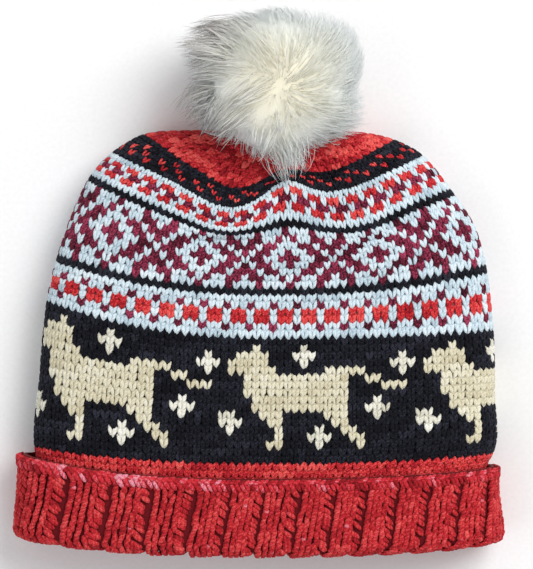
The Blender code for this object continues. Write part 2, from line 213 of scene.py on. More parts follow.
def fold_line():
    """Y of the cuff's fold at the four sides."""
    return Sides(*(BODY_LENGTH * up for up in FOLD_UP))


def above_fold(shares):
    """Y at the four sides, for shares of the cuff's height above its fold."""
    return Sides(*(low + CUFF_HEIGHT * share for low, share in zip(fold_line(), shares)))


# %% The body's surface
def body_surface(rows, places):
    """The body's outer surface at knit rows and places, with its soft folds and drawn-up pleats.

    A fold moves the front by its sag and lift times a bell curve round its middle. A pleat is a
    cosine round the tube, as deep as a sine of how far up the crown the row is.
    """
    level = read_rounds(rows)
    shares = (level.up_left, level.up_front, level.up_right, level.up_back)
    ups = Sides(*(y + (BODY_LENGTH - y) * share for y, share in zip(above_fold(SEAM_UP), shares)))
    bottom = (BODY_PUFF * np.maximum(level.bottom, 0)
              + (CUFF_WALL + LEG_GAP) * np.maximum(level.on_flap, 0))
    top = BODY_PUFF * level.top
    half = BODY_WIDTH / 2
    left = level.left + np.interp(rows, *np.array(LEFT_EASE).T)
    points = tube_sections(-half * left, half * level.right, bottom, top, ups, places)
    side_z = (bottom + SIDE_LEVEL * (top - bottom))[:, None]
    front = np.clip((points[..., 2] - side_z) / np.maximum(top[:, None] - side_z, TINY), 0, 1)
    flat_x, flat_y = points[..., 0] / half, points[..., 1] / BODY_LENGTH
    for fold in BODY_FOLDS:
        far = (((flat_x - fold.across) / fold.reach_across) ** 2
               + ((flat_y - fold.up) / fold.reach_up) ** 2)
        points[..., 1] -= fold.sag * BODY_LENGTH * np.exp(-far) * front
        points[..., 2] += fold.lift * BODY_PUFF * np.exp(-far) * front
    drawn = np.clip((rows - GATHER_FIRST_ROW) / (LAST_ROW - GATHER_FIRST_ROW), 0, 1)
    depth = GATHER_DEPTH * np.sin(math.pi * drawn)[:, None] * np.cos(2 * math.pi * GATHERS * places)
    outward = unit(points - points.mean(axis=1, keepdims=True))
    return points + outward * (depth * np.maximum(front, GATHER_BEHIND))[..., None]


LEVELS_PER_ROW = 4
GRID_PLACES = 720
grid_rows = np.linspace(0.0, LAST_ROW, int(LAST_ROW) * LEVELS_PER_ROW + 1)
grid_places = np.linspace(0.0, 1.0, GRID_PLACES + 1)
body_points = body_surface(grid_rows, grid_places)
print("body surface:", body_points.shape)

# %% [markdown]
# ## The cuff's surface
#
# The cuff is one piece of rib that goes down inside, turns round its fold and comes up outside. Its
# visible side is a path in the section: the flap's face, a half circle round the fold and the inner
# leg's face. Each point of that path is carried round the hat.

# %% The cuff's surface
CUFF_ROW = 0.0035               # one row of the rib
TURN_RADIUS = LEG_GAP / 2 + CUFF_WALL
STAND_FROM = 0.6                # how far up the flap it begins to stand off
FLAP_POINTS, TURN_POINTS, LEG_POINTS = 22, 16, 17


def cuff_path():
    """The path of the cuff's visible side, from the cast-on edge down, round the fold and up inside.

    Columns: distance outside the body's skin, share of the way from the fold to the cast-on edge on
    the flap, rise above the fold elsewhere, and share of the way up the inner leg. The turn is a
    half circle: a sine outwards and one minus a cosine upwards.
    """
    share = np.linspace(1.0, TURN_RADIUS / CUFF_HEIGHT, FLAP_POINTS)
    stand = FLAP_STAND * np.maximum(0.0, share - STAND_FROM) / (1 - STAND_FROM)
    angle = np.radians(np.linspace(90, -90, TURN_POINTS + 1)[1:])
    up_leg = np.linspace(0.0, 1.0, LEG_POINTS + 1)[1:]
    parts = ((LEG_GAP + CUFF_WALL + stand, share, 0.0, 0.0),
             (LEG_GAP / 2 + TURN_RADIUS * np.sin(angle), 0.0, TURN_RADIUS * (1 - np.cos(angle)), 0.0),
             (-CUFF_WALL, 0.0, TURN_RADIUS, up_leg))
    return np.concatenate([np.column_stack(np.broadcast_arrays(*part)) for part in parts])


def cuff_surface(places):
    """The cuff's visible side as a grid, one line for each point of its path."""
    outset, flap_share, rise, leg_share = cuff_path().T
    fold, cast_on = fold_line(), above_fold(CAST_ON_UP)
    seam = Sides(*(y - SEAM_GAP for y in above_fold(SEAM_UP)))
    ups = Sides(*(np.where(flap_share > 0, low + (high - low) * flap_share,
                           low + rise + (top - low - TURN_RADIUS) * leg_share)
                  for low, high, top in zip(fold, cast_on, seam)))
    height_share = np.clip((ups.front - fold.front) / CUFF_HEIGHT, 0, 1)
    spread = outset + CUFF_FLARE * (1 - height_share)
    half, mouth = BODY_WIDTH / 2, BODY_ROUNDS[0]
    return tube_sections(-half * mouth.left - spread - CUFF_LEFT_EASE, half * mouth.right + spread,
                         CUFF_WALL + LEG_GAP - outset, BODY_PUFF * mouth.top + outset, ups, places)


cuff_points = cuff_surface(grid_places)
cuff_run = np.linalg.norm(np.diff(cuff_points[:, GRID_PLACES // 4], axis=0), axis=1)
cuff_rows = np.concatenate(([0.0], np.cumsum(cuff_run))) / CUFF_ROW
print("cuff surface:", cuff_points.shape, "rows of rib:", round(float(cuff_rows[-1]), 1))

# %% [markdown]
# ## One frame for all
#
# The solids were centred at the end of their making. The same shift is found here from the packed
# body's own box, and both surfaces are moved by it. The way outwards is then known at every point,
# and both can be read between the grid's points.

# %% Move the surfaces onto the solids
def outward_of(points):
    """Unit normals of a grid: the cross product of its steps round and its steps up."""
    around = np.roll(points[:, :-1], -1, axis=1) - np.roll(points[:, :-1], 1, axis=1)
    around = np.concatenate((around, around[:, :1]), axis=1)
    return unit(np.cross(around, np.gradient(points, axis=0)))


def at(grid, place, level):
    """The grid's value at places round and levels up, blended from the four values around."""
    rows, columns = grid.shape[:2]
    u = (place % 1.0) * (columns - 1)
    i = np.minimum(u.astype(int), columns - 2)
    v = np.clip(level, 0, rows - 1)
    j = np.minimum(v.astype(int), rows - 2)
    fu, fv = (u - i)[..., None], (v - j)[..., None]
    low = grid[j, i] * (1 - fu) + grid[j, i + 1] * fu
    high = grid[j + 1, i] * (1 - fu) + grid[j + 1, i + 1] * fu
    return low * (1 - fv) + high * fv


body_low, body_high = (np.array(corner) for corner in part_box("knit_body"))
shift = np.array([body_low[0] - body_points[..., 0].min(),
                  body_high[1] - body_points[..., 1].max(), 0.0])
body_points += shift
cuff_points += shift
body_out = outward_of(body_points)
cuff_out = -outward_of(cuff_points)
print("shift in mm:", np.round(shift * 1000, 2))

# %% [markdown]
# ## Yarn
#
# A stitch is a bend of yarn, so the pieces of this hat are short tubes: closed, a little flat, and
# thinner at both ends, where they go behind the next stitch. Blender could make them as curves with
# a bevel, one at a time. With thousands it is quicker to work out all tubes of one yarn as a single
# array: a path of a few points each, and a ring of five points round each of them.

# %% Tubes of yarn
def yarn_tubes(paths, outward, widths, thicknesses, sides=5):
    """Closed tubes along many paths at once: their points, quads, triangles and ply coordinates.

    paths and outward hold tube, step and XYZ. A ring is the path's point plus its side direction
    times the half width times a cosine, plus its outward direction times the half thickness times a
    sine. The first and last steps of a path are the tube's closed ends. The ply coordinates are the
    share of the way round the tube and the metres along it.
    """
    tubes, steps = paths.shape[:2]
    heading = unit(np.gradient(paths, axis=1))
    side = unit(np.cross(heading, outward))
    out = np.cross(side, heading)
    turn = 2 * math.pi * np.arange(sides) / sides - math.pi / 2
    middle = slice(1, steps - 1)
    rings = (paths[:, middle, None]
             + side[:, middle, None] * (widths[:, middle, None] * np.cos(turn))[..., None]
             + out[:, middle, None] * (thicknesses[:, middle, None] * np.sin(turn))[..., None])
    count = (steps - 2) * sides + 2
    points = np.concatenate((paths[:, :1], rings.reshape(tubes, -1, 3), paths[:, -1:]), axis=1)
    k, s = np.meshgrid(np.arange(steps - 3), np.arange(sides), indexing="ij")
    t = (s + 1) % sides
    quads = 1 + np.stack((k * sides + s, (k + 1) * sides + s, (k + 1) * sides + t, k * sides + t),
                         axis=-1).reshape(-1, 4)
    s, t = np.arange(sides), (np.arange(sides) + 1) % sides
    last = (steps - 3) * sides
    triangles = np.concatenate((
        np.column_stack((np.zeros_like(s), s + 1, t + 1)),
        np.column_stack((np.full_like(s, count - 1), last + t + 1, last + s + 1))))
    starts = (np.arange(tubes) * count)[:, None, None]
    length = np.linalg.norm(np.diff(paths, axis=1), axis=2)
    along = np.concatenate((np.zeros((tubes, 1)), np.cumsum(length, axis=1)), axis=1)
    round_and_along = np.stack(np.broadcast_arrays(np.arange(sides) / sides, along[:, middle, None]),
                               axis=-1).reshape(tubes, -1, 2)
    first, final = (np.stack((0 * along[:, end], along[:, end]), axis=-1)[:, None] for end in (0, -1))
    ply = np.concatenate((first, round_and_along, final), axis=1)
    return points, (quads[None] + starts).reshape(-1, 4), (triangles[None] + starts).reshape(-1, 3), ply


def joined(parts):
    """Several sets of tubes as one: their points, quads, triangles and ply, renumbered."""
    points, quads, triangles, ply = zip(*parts)
    starts = np.cumsum([0] + [len(made) * made.shape[1] for made in points[:-1]])
    return (np.concatenate([made.reshape(-1, 3) for made in points]),
            np.concatenate([made + start for made, start in zip(quads, starts)]),
            np.concatenate([made + start for made, start in zip(triangles, starts)]),
            np.concatenate([made.reshape(-1, 2) for made in ply]))


# %% Meshes from arrays
def in_scene(name, data):
    """A new object that holds this data, linked to the scene."""
    made = bpy.data.objects.new(name, data)
    bpy.context.scene.collection.objects.link(made)
    return made


def mesh_piece(name, points, quads, triangles, material, shade, ply=None):
    """A smooth mesh object from arrays. shade and ply become attributes that the material reads."""
    mesh = bpy.data.meshes.new(name)
    points = np.array(points, dtype=np.float32).reshape(-1, 3)
    points[:, 2] = np.maximum(points[:, 2], 0.0)
    mesh.vertices.add(len(points))
    mesh.vertices.foreach_set("co", points.ravel())
    corners = np.concatenate((np.ravel(quads), np.ravel(triangles))).astype(np.int32)
    mesh.loops.add(len(corners))
    mesh.loops.foreach_set("vertex_index", corners)
    starts = np.concatenate((np.arange(len(quads)) * 4,
                             len(quads) * 4 + np.arange(len(triangles)) * 3))
    mesh.polygons.add(len(starts))
    mesh.polygons.foreach_set("loop_start", starts.astype(np.int32))
    mesh.polygons.foreach_set("use_smooth", np.ones(len(starts), dtype=bool))
    mesh.update(calc_edges=True)
    shades = mesh.attributes.new("shade", "FLOAT", "POINT")
    shades.data.foreach_set("value", np.ravel(shade).astype(np.float32))
    if ply is not None:
        flat = np.concatenate((ply.reshape(-1, 2), np.zeros((len(points), 1))), axis=1)
        plies = mesh.attributes.new("ply", "FLOAT_VECTOR", "POINT")
        plies.data.foreach_set("vector", flat.astype(np.float32).ravel())
    mesh.materials.append(material)
    print(f"{name}: {len(quads) * 2 + len(triangles)} triangles")
    return in_scene(name, mesh)


def grid_quads(rows, columns):
    """Quads of a grid that is closed round: each joins a point, its neighbour and the two above."""
    j, i = np.meshgrid(np.arange(rows - 1), np.arange(columns), indexing="ij")
    k = (i + 1) % columns
    return np.stack((j * columns + i, j * columns + k, (j + 1) * columns + k, (j + 1) * columns + i),
                    axis=-1).reshape(-1, 4)


def end_triangles(first, columns, tip):
    """Triangles from the grid's ring that begins at point first to one point at its tip."""
    ring = np.arange(columns)
    return np.column_stack((first + ring, first + (ring + 1) % columns, np.full(columns, tip)))


def add_wall(piece, thickness, offset):
    """Solidify gives the sheet its thickness: inwards at offset -1, to both sides at 0."""
    wall = piece.modifiers.new("wall", "SOLIDIFY")
    wall.thickness = thickness
    wall.offset = offset


# %% [markdown]
# ## Wool
#
# The yarn is a plied, slightly fuzzy sheep's wool. Wool scatters light in its fibres, so it looks
# matt with a pale rim, and hand-dyed wool changes a little from stitch to stitch. The material
# reads a shade for each stitch, adds a fine mottle, and gets its twist from a wave that winds round
# the tube of yarn: about two turns of the plies in one stitch, 2.4 mm apart. That wave is relief,
# and it is also painted into the colour: painted highlight on the plies' crests, painted shade in
# their furrows.

# %% Colours, nodes and new materials
def linear(hex_colour):
    """An sRGB hex value as linear light: below 0.04045 divided by 12.92, above it a power of 2.4."""
    value = np.array([int(hex_colour[i:i + 2], 16) for i in (1, 3, 5)]) / 255
    low = value <= 0.04045
    return (*np.where(low, value / 12.92, ((value + 0.055) / 1.055) ** 2.4), 1.0)


def add_node(tree, kind, settings=None, links=None, values=None):
    """A node with its settings, its input values and the links that come into it."""
    node = tree.nodes.new(kind)
    for name, value in (settings or {}).items():
        setattr(node, name, value)
    for name, value in (values or {}).items():
        node.inputs[name].default_value = value
    for name, source in (links or {}).items():
        tree.links.new(source, node.inputs[name])
    return node


def colour_ramp(tree, source, stops):
    """A colour ramp through stops of position and hex colour."""
    node = add_node(tree, "ShaderNodeValToRGB", links={"Fac": source})
    ramp = node.color_ramp
    while len(ramp.elements) < len(stops):
        ramp.elements.new(0.5)
    for element, (position, colour) in zip(ramp.elements, stops):
        element.position = position
        element.color = linear(colour)
    return node


def new_material(name, values):
    """A material whose shader has these values on its own sockets, with its nodes and shader."""
    material = bpy.data.materials.new(name)
    material.use_nodes = True
    shader = material.node_tree.nodes["Principled BSDF"]
    for socket, value in values.items():
        shader.inputs[socket].default_value = value
    return material, material.node_tree, shader


# %% The wool material
PLY_TURN = 0.0024               # metres of yarn for one turn of its plies
PLIES = 2.0
# painted highlight and shade: the ply's wave also lightens its crests and darkens its furrows in the
# colour
PLY_PAINTED_LIGHT = 0.11                # how much lighter a ply's crest is than the furrow beside it
PLY_RELIEF = 0.5                # how high a ply stands beside the fibres' own relief
FIBRE = 0.00035                 # the mottle's size, as coarse as it needs to be to show
YARN_RELIEF = 0.00035
FLECK = 0.007                   # about twice a fleck's length
FLECK_OVER, FLECK_EDGE = 0.73, 0.04     # the noise above which a fleck begins, and its soft edge


def wool(name, colours, fuzz="#FFFFFF", fuzz_weight=0.15, mottling=1.0, fleck=None,
         positions=(0.0, 0.5, 1.0)):
    """Plied wool in these colours, from its darkest stitches to its lightest.

    A fleck is a bit of another colour a few millimetres long, spun into the yarn here and there.
    The ply is a sine of its turns: the share of the way round times the plies, plus the metres along
    divided by a turn's length. It is added to the stitch's shade as painted highlight on the crests
    and painted shade in the furrows, and the mottle to both.
    """
    material, tree, shader = new_material(name, {
        "Roughness": 0.85, "Specular IOR Level": 0.15, "Sheen Weight": fuzz_weight,
        "Sheen Roughness": 0.45, "Sheen Tint": linear(fuzz)})
    place = add_node(tree, "ShaderNodeTexCoord")
    shade = add_node(tree, "ShaderNodeAttribute", {"attribute_name": "shade"})
    mottle = add_node(tree, "ShaderNodeTexNoise", values={"Scale": 1 / FIBRE / 2, "Detail": 3.0},
                      links={"Vector": place.outputs["Object"]})
    ply = add_node(tree, "ShaderNodeAttribute", {"attribute_name": "ply"})
    parts = add_node(tree, "ShaderNodeSeparateXYZ", links={0: ply.outputs["Vector"]})
    turns = add_node(tree, "ShaderNodeMath", {"operation": "DIVIDE"},
                     links={0: parts.outputs["Y"]}, values={1: PLY_TURN})
    twist = add_node(tree, "ShaderNodeMath", {"operation": "MULTIPLY_ADD"},
                     links={0: parts.outputs["X"], 2: turns.outputs[0]}, values={1: PLIES})
    angle = add_node(tree, "ShaderNodeMath", {"operation": "MULTIPLY"},
                     links={0: twist.outputs[0]}, values={1: 2 * math.pi})
    wave = add_node(tree, "ShaderNodeMath", {"operation": "SINE"}, links={0: angle.outputs[0]})
    # painted highlight and shade: the ply's wave is added to the stitch's shade, lighter on crests,
    # darker in furrows
    plied = add_node(tree, "ShaderNodeMath", {"operation": "MULTIPLY_ADD"},
                     links={0: wave.outputs[0], 2: shade.outputs["Fac"]}, values={1: PLY_PAINTED_LIGHT})
    spread = add_node(tree, "ShaderNodeMath", {"operation": "MULTIPLY_ADD"},
                      links={0: mottle.outputs["Fac"], 2: plied.outputs[0]}, values={1: mottling})
    centred = add_node(tree, "ShaderNodeMath", {"operation": "SUBTRACT"},
                       links={0: spread.outputs[0]}, values={1: mottling / 2})
    colour = colour_ramp(tree, centred.outputs[0], tuple(zip(positions, colours)))
    if fleck:
        bit = add_node(tree, "ShaderNodeCombineXYZ",
                       links={"X": shade.outputs["Fac"], "Y": parts.outputs["Y"]})
        chance = add_node(tree, "ShaderNodeTexNoise", values={"Scale": 1 / FLECK, "Detail": 1.0},
                          links={"Vector": bit.outputs[0]})
        rare = colour_ramp(tree, chance.outputs["Fac"],
                           ((FLECK_OVER, "#000000"), (FLECK_OVER + FLECK_EDGE, "#FFFFFF")))
        colour = add_node(tree, "ShaderNodeMixRGB", values={"Color2": linear(fleck)},
                          links={"Fac": rare.outputs["Color"], "Color1": colour.outputs["Color"]})
    tree.links.new(colour.outputs["Color"], shader.inputs["Base Color"])
    height = add_node(tree, "ShaderNodeMath", {"operation": "MULTIPLY_ADD"},
                      links={0: wave.outputs[0], 2: mottle.outputs["Fac"]}, values={1: PLY_RELIEF})
    bump = add_node(tree, "ShaderNodeBump", links={"Height": height.outputs[0]},
                    values={"Strength": 0.8, "Distance": YARN_RELIEF})
    tree.links.new(bump.outputs["Normal"], shader.inputs["Normal"])
    return material


# %% The yarns
RED_FUZZ = "#FF9A90"
YARNS = {
    "navy": wool("navy_wool", ("#07070B", "#14141B", "#30313C"), "#8FA0C0", 0.08, mottling=2.0),
    "white": wool("white_wool", ("#AEC2CE", "#D4E5EE", "#EAF4F9")),
    "burgundy": wool("burgundy_wool", ("#350D19", "#6C1F35", "#B04262"), "#D08090", mottling=2.6),
    "red": wool("red_wool", ("#8E1420", "#D22D35", "#F26660"), RED_FUZZ, mottling=2.2),
    "beige": wool("beige_wool", ("#C6BB9C", "#E1DABF", "#EFEBDA")),
    "cream": wool("cream_wool", ("#C4C0AC", "#ECE9DA", "#FAF9F0")),
    "cuff_red": wool("cuff_wool", ("#741019", "#C4252E", "#F06260"), RED_FUZZ, mottling=1.5,
                     fleck="#E58A9C"),
    "edge_red": wool("cast_on_wool", ("#8C1620", "#CE2A34", "#DC4550", "#EE9AAB"), RED_FUZZ,
                     mottling=1.2, positions=(0.0, 0.45, 0.7, 1.0)),
}
print("yarns:", sorted(YARNS))

# %% [markdown]
# ## Knit stitches
#
# On the outside of stocking stitch each stitch is a V of two legs. A leg comes out from under the
# stitch below, bulges to the front and goes in behind the stitch above. So a leg is a short path
# over the surface: shares of a stitch across, shares of a row up, and a lift that is lowest at both
# ends. One table holds that path, and every leg of the body is a copy of it, laid on the grid with
# its own small irregularity, as hand knitting has.

# %% Lay knit stitches on the body
Step = namedtuple("Step", "across up lift width")
KNIT_LEG = (
    Step(0.00, -0.54, -0.60, 0.00),
    Step(0.07, -0.17, 0.15, 0.50),
    Step(0.17, 0.22, 0.45, 0.87),
    Step(0.28, 0.66, 0.30, 1.06),
    Step(0.37, 1.02, -0.50, 0.85),
    Step(0.42, 1.32, -1.40, 0.00),
)
LIFT = 0.0008                   # a lift of one, about half the yarn's thickness
LEG_HALF_WIDTH = 0.290          # of a stitch's width
YARN_HALF_THICKNESS = 0.00088
STITCH_DEPTH = 0.0007           # the middle of a stitch's yarn below the hat's outer surface
WOBBLE = 0.05                   # how far a leg strays, in stitches across and rows up
PLUMP_CHANCE = 0.06             # how much thicker or thinner one leg is than the next
random = np.random.default_rng(61)


def laid_on(grid, outward, place, level, height):
    """Points on a surface, raised along its unit normals by a height, and those normals."""
    normals = unit(at(outward, place, level))
    return at(grid, place, level) + normals * height[..., None], normals


def spacing(grid, place, next_place, level):
    """The real distance between two places on one level of a surface."""
    return np.linalg.norm(at(grid, next_place, level) - at(grid, place, level), axis=1)


def body_yarn(leg, place, level, width, mirror):
    """Tubes on the body: each follows the leg's path from its own place and knit row.

    width is a stitch's share of the whole round. The tube's half width comes from the real distance
    between neighbouring stitches on the surface.
    """
    across, up, lift, share = np.array(leg).T
    slip = random.normal(0, WOBBLE, (len(place), 2))
    place_at = place[:, None] + (across * mirror + slip[:, :1]) * width[:, None]
    level_at = (level[:, None] + up + slip[:, 1:]) * LEVELS_PER_ROW
    points, normals = laid_on(body_points, body_out, place_at, level_at, lift * LIFT - STITCH_DEPTH)
    pitch = spacing(body_points, place - width / 2, place + width / 2, level * LEVELS_PER_ROW)
    plump = (1 + random.normal(0, PLUMP_CHANCE, len(place)))[:, None]
    return yarn_tubes(points, normals, pitch[:, None] * LEG_HALF_WIDTH * share * plump,
                      YARN_HALF_THICKNESS * share * plump)


# %% The shade of a stitch
SHADE_WAVES = ((37.0, 5.3), (91.0, -2.1))       # radians of each slow wave round the hat and per row
SHADE_WAVE, SHADE_CHANCE = 0.22, 0.22
DARKEST, LIGHTEST = 0.02, 0.98


def stitch_shade(place, level, spread):
    """A shade from 0 to 1 for each stitch: slow waves along the yarn and a little chance."""
    wave = sum(np.sin(place * around + level * up) for around, up in SHADE_WAVES)
    own = SHADE_WAVE * wave + random.normal(0, SHADE_CHANCE, len(place))
    return np.clip(0.5 + spread * own, DARKEST, LIGHTEST)


# %% [markdown]
# ## The pattern
#
# Stranded colourwork repeats small charts round the hat. A chart has one letter for each stitch,
# read as it is knitted, the lowest row last. The figures here are the old ones of such knitting: a
# small animal between stars, blocks, diamonds and rings.

# %% The charts of the bands
Band = namedtuple("Band", "name first_row chart phase")
LETTERS = {".": "navy", "#": "beige", "+": "cream", "w": "white", "b": "burgundy", "r": "red"}
ANIMAL_CHART = """
........................
...#.....+..............
.####...+++..........+..
#####....+..........+++.
######......#####....+..
..#############..##.....
..#############....###..
..#############.........
...############...+.....
...############..+++....
+...###.....###...+....+
++...##......##........+
+.....#....+..##........
......#...+++..##.......
.....##....+....#.......
........................
........................
"""
BLOCK_CHART = """
www
wwb
rrw
rrw
wwb
www
"""
DIAMOND_CHART = """
bwwwbwwwbwww
wbwwbbwbbwwb
wwbbwbbbwbbw
bwwbbwbwbbww
bbwwbbwbbwwb
bwwbbwbwbbww
wwbbwbbbwbbw
wbwwbbwbbwwb
bwwwbwwwbwww
"""
RING_CHART = """
www
wrr
bwb
wrr
www
"""
BANDS = (
    Band("red_rounds", 0, "r r r r", 0),
    Band("animal_band", 4, ANIMAL_CHART, 0),
    Band("block_band", 21, BLOCK_CHART, 0),
    Band("lower_line", 27, ".", 0),
    Band("diamond_band", 28, DIAMOND_CHART, 7),
    Band("upper_line", 37, ".", 0),
    Band("ring_band", 38, RING_CHART, 2),
)
BODY_STITCHES = RIB_PAIRS * STITCHES_PER_PAIR
FIRST_FIGURE = 25               # the stitch, counted from the left side, where the first animal starts


def chart_rows(band):
    """The band's chart, lowest row first, repeated round the body: an array of letters."""
    rows = band.chart.split()[::-1]
    column = (np.arange(BODY_STITCHES) - FIRST_FIGURE - band.phase) % len(rows[0])
    return np.array([[row[c] for c in column] for row in rows])


for band in BANDS:
    print(band.name, chart_rows(band).shape)

# %% Knit the body's bands
LEG_SHADE_CHANCE = 0.05         # how much a stitch's two legs differ in shade


def knit_piece(name, yarn, column, level, count, spread=0.5, height=1.0, plumpness=1.0):
    """A piece of the body in one yarn: both legs of each stitch, given by its column and knit row.

    count is the number of stitches that go round in its row, height a stitch's height in knit rows
    and plumpness its yarn's width, as a share of the usual one.
    """
    leg = [step._replace(up=step.up * height, width=step.width * plumpness) for step in KNIT_LEG]
    place, width = (column + 0.5) / count, np.ones(len(column)) / count
    points, quads, triangles, ply = joined([body_yarn(leg, place, level, width, mirror)
                                            for mirror in (-1.0, 1.0)])
    shade = stitch_shade(place, level, spread)
    legs = np.concatenate((shade + random.normal(0, LEG_SHADE_CHANCE, len(shade)), shade))
    return mesh_piece(name, points, quads, triangles, YARNS[yarn],
                      np.repeat(legs, len(points) // len(legs)), ply)


body_pieces = []
for band in BANDS:
    letters = chart_rows(band)
    for letter in sorted(set(letters.ravel())):
        row, column = np.nonzero(letters == letter)
        body_pieces.append(knit_piece(f"{band.name}_{LETTERS[letter]}", LETTERS[letter], column,
                                      row + band.first_row, BODY_STITCHES))

# %% [markdown]
# ## The crown
#
# Above the rings the hat is decreased: fewer and fewer stitches go round. A black band with a few
# red specks comes first and plain red after it, in larger stitches. Each row therefore has its own
# count of stitches, and the same leg is laid with that count's width. A speck is one red stitch
# that the black ones beside it squeeze, so it is knitted less plump.

# %% Knit the crown
BLACK_COUNT = 108
SPECK_ROWS = {1: (1, 4), 2: (0, 3), 3: (5,)}    # row of the black band: places of its red stitches
SPECK_REPEAT = 6
SPECK_PLUMPNESS = 0.75
RED_COUNTS = (70, 64, 57, 50, 43, 36, 29, 22, 16)
RED_HEIGHT = 1.33               # the crown's stitches are larger, as if knitted with both yarns
RED_SPREAD = 0.9
BLACK_FIRST, RED_FIRST = 43, 48

black_row, black_column = np.divmod(np.arange(BLACK_COUNT * (RED_FIRST - BLACK_FIRST)), BLACK_COUNT)
speck = np.zeros(len(black_row), dtype=bool)
for row, spots in SPECK_ROWS.items():
    speck |= (black_row == row) & np.isin(black_column % SPECK_REPEAT, spots)
for yarn, chosen, plumpness in (("navy", ~speck, 1.0), ("red", speck, SPECK_PLUMPNESS)):
    body_pieces.append(knit_piece(f"black_crown_{yarn}", yarn, black_column[chosen],
                                  black_row[chosen] + BLACK_FIRST, BLACK_COUNT, plumpness=plumpness))

red_row = np.repeat(np.arange(len(RED_COUNTS)), RED_COUNTS)
red_column = np.concatenate([np.arange(count) for count in RED_COUNTS])
body_pieces.append(knit_piece("red_crown", "red", red_column, RED_FIRST + red_row * RED_HEIGHT,
                              np.repeat(RED_COUNTS, RED_COUNTS), RED_SPREAD, RED_HEIGHT))

# %% [markdown]
# ## The back of the fabric
#
# Between the stitches one sees the yarn behind them, and through the mouth the floats of the unused
# colour. A thin shell just under the stitches stands for both: a grid on the same surface, given
# its thickness by Solidify. Its colour follows the bands, painted darker than the stitches as
# painted shade between them, and a fine wave along the rows gives the floats.

# %% The shell under the stitches
SHELL_DEPTH = 0.0014
SHELL_LEVELS, SHELL_PLACES = 3, 6       # every third level and sixth place of the grid is kept
BandBack = namedtuple("BandBack", "first_row colour")
# Painted shade: each back is its band's colour painted darker, for the shade between the stitches.
SHADED_BAND_BACKS = (
    BandBack(0, "#7A1018"), BandBack(4, "#0A0B12"), BandBack(21, "#7E868C"),
    BandBack(27, "#0A0B12"), BandBack(28, "#6E5F68"), BandBack(37, "#0A0B12"),
    BandBack(38, "#7A5058"), BandBack(43, "#0A0B12"), BandBack(48, "#7A1018"),
)


def floats_and_shade_wool(name, stops):
    """Floats and painted shade: the band's darker colour, with a sine along the rows as relief."""
    material, tree, shader = new_material(name, {"Roughness": 0.95, "Specular IOR Level": 0.1})
    rows = add_node(tree, "ShaderNodeAttribute", {"attribute_name": "shade"})
    ramp = colour_ramp(tree, rows.outputs["Fac"], stops)
    ramp.color_ramp.interpolation = "CONSTANT"
    tree.links.new(ramp.outputs["Color"], shader.inputs["Base Color"])
    count = add_node(tree, "ShaderNodeMath", {"operation": "MULTIPLY"},
                     links={0: rows.outputs["Fac"]}, values={1: 2 * math.pi * LAST_ROW})
    wave = add_node(tree, "ShaderNodeMath", {"operation": "SINE"}, links={0: count.outputs[0]})
    bump = add_node(tree, "ShaderNodeBump", links={"Height": wave.outputs[0]},
                    values={"Strength": 0.6, "Distance": 0.0008})
    tree.links.new(bump.outputs["Normal"], shader.inputs["Normal"])
    return material


shell_rows = slice(0, len(grid_rows) - LEVELS_PER_ROW, SHELL_LEVELS)
row_share = grid_rows[shell_rows] / LAST_ROW
under = (body_points - body_out * SHELL_DEPTH)[shell_rows, :-1:SHELL_PLACES]
under_rows, under_columns = under.shape[:2]
body_shell = mesh_piece(
    "body_floats_and_shade", np.concatenate((under.reshape(-1, 3), under[-1].mean(axis=0)[None])),
    grid_quads(under_rows, under_columns),
    end_triangles((under_rows - 1) * under_columns, under_columns, under_rows * under_columns),
    floats_and_shade_wool("floats_and_shade_wool", [(back.first_row / LAST_ROW, back.colour) for back in SHADED_BAND_BACKS]),
    np.append(np.repeat(row_share, under_columns), row_share[-1]))
add_wall(body_shell, BODY_WALL - SHELL_DEPTH, -1.0)

# %% [markdown]
# ## The ribbed cuff
#
# Two-by-two rib is two columns of knit stitches, which stand out, and two columns of purl stitches,
# which lie lower and show the stitches' backs: short slanted bumps, drawn together. Beside them a
# narrow groove runs up, which gives the rib its dark lines. The flap is folded up, so its stitches
# point up: their narrow ends look to the cast-on edge. The ribs aren't evenly wide on the real hat
# and lean a little, so a short table gives where the middle of each front rib lies.

# %% Where the ribs lie
RIB_MIDDLES = (-118.3, -94.9, -72.3, -51.2, -28.9, -11.4, 5.7, 25.0, 42.9, 59.0, 75.1, 92.0, 108.5,
               122.5)
MILLIMETRE = 0.001
RIB_MIDDLE_SHARE = 0.60         # how far up the flap those middles were measured
RIB_LEAN = 1.45                 # stitches that a rib drifts between the fold and the cast-on edge
TURN_SEEN = 0.25                # how far round to the fold's middle the flap is still seen
cuff_levels = np.arange(len(cuff_rows))
rib_level = np.argmin(np.abs(cuff_path()[:, 1] - RIB_MIDDLE_SHARE))
front_x = cuff_points[rib_level, : GRID_PLACES // 2, 0] - shift[0]
rib_places = np.interp(np.array(RIB_MIDDLES) * MILLIMETRE, front_x, grid_places[: GRID_PLACES // 2])
rib_index = np.append(np.arange(len(rib_places)), RIB_PAIRS)
rib_place = np.append(rib_places, rib_places[0] + 1.0)
flap_end, fold_middle = cuff_rows[FLAP_POINTS - 1], cuff_rows[FLAP_POINTS - 1 + TURN_POINTS // 2]
fold_row = flap_end + TURN_SEEN * (fold_middle - flap_end)


def pair_place(pair, row):
    """Place of a point counted in rib pairs, which drifts with its row of rib as the ribs lean."""
    turns = np.floor_divide(pair, RIB_PAIRS)
    place = np.interp(pair - turns * RIB_PAIRS, rib_index, rib_place) + turns
    return place + RIB_LEAN * (cuff_rows[rib_level] - row) / fold_row / BODY_STITCHES


def level_of(row):
    """The level of the cuff's grid at rows of rib, counted from the cast-on edge."""
    return np.interp(row, cuff_rows, cuff_levels)


print("rows of rib down to the fold:", round(float(fold_row), 1))

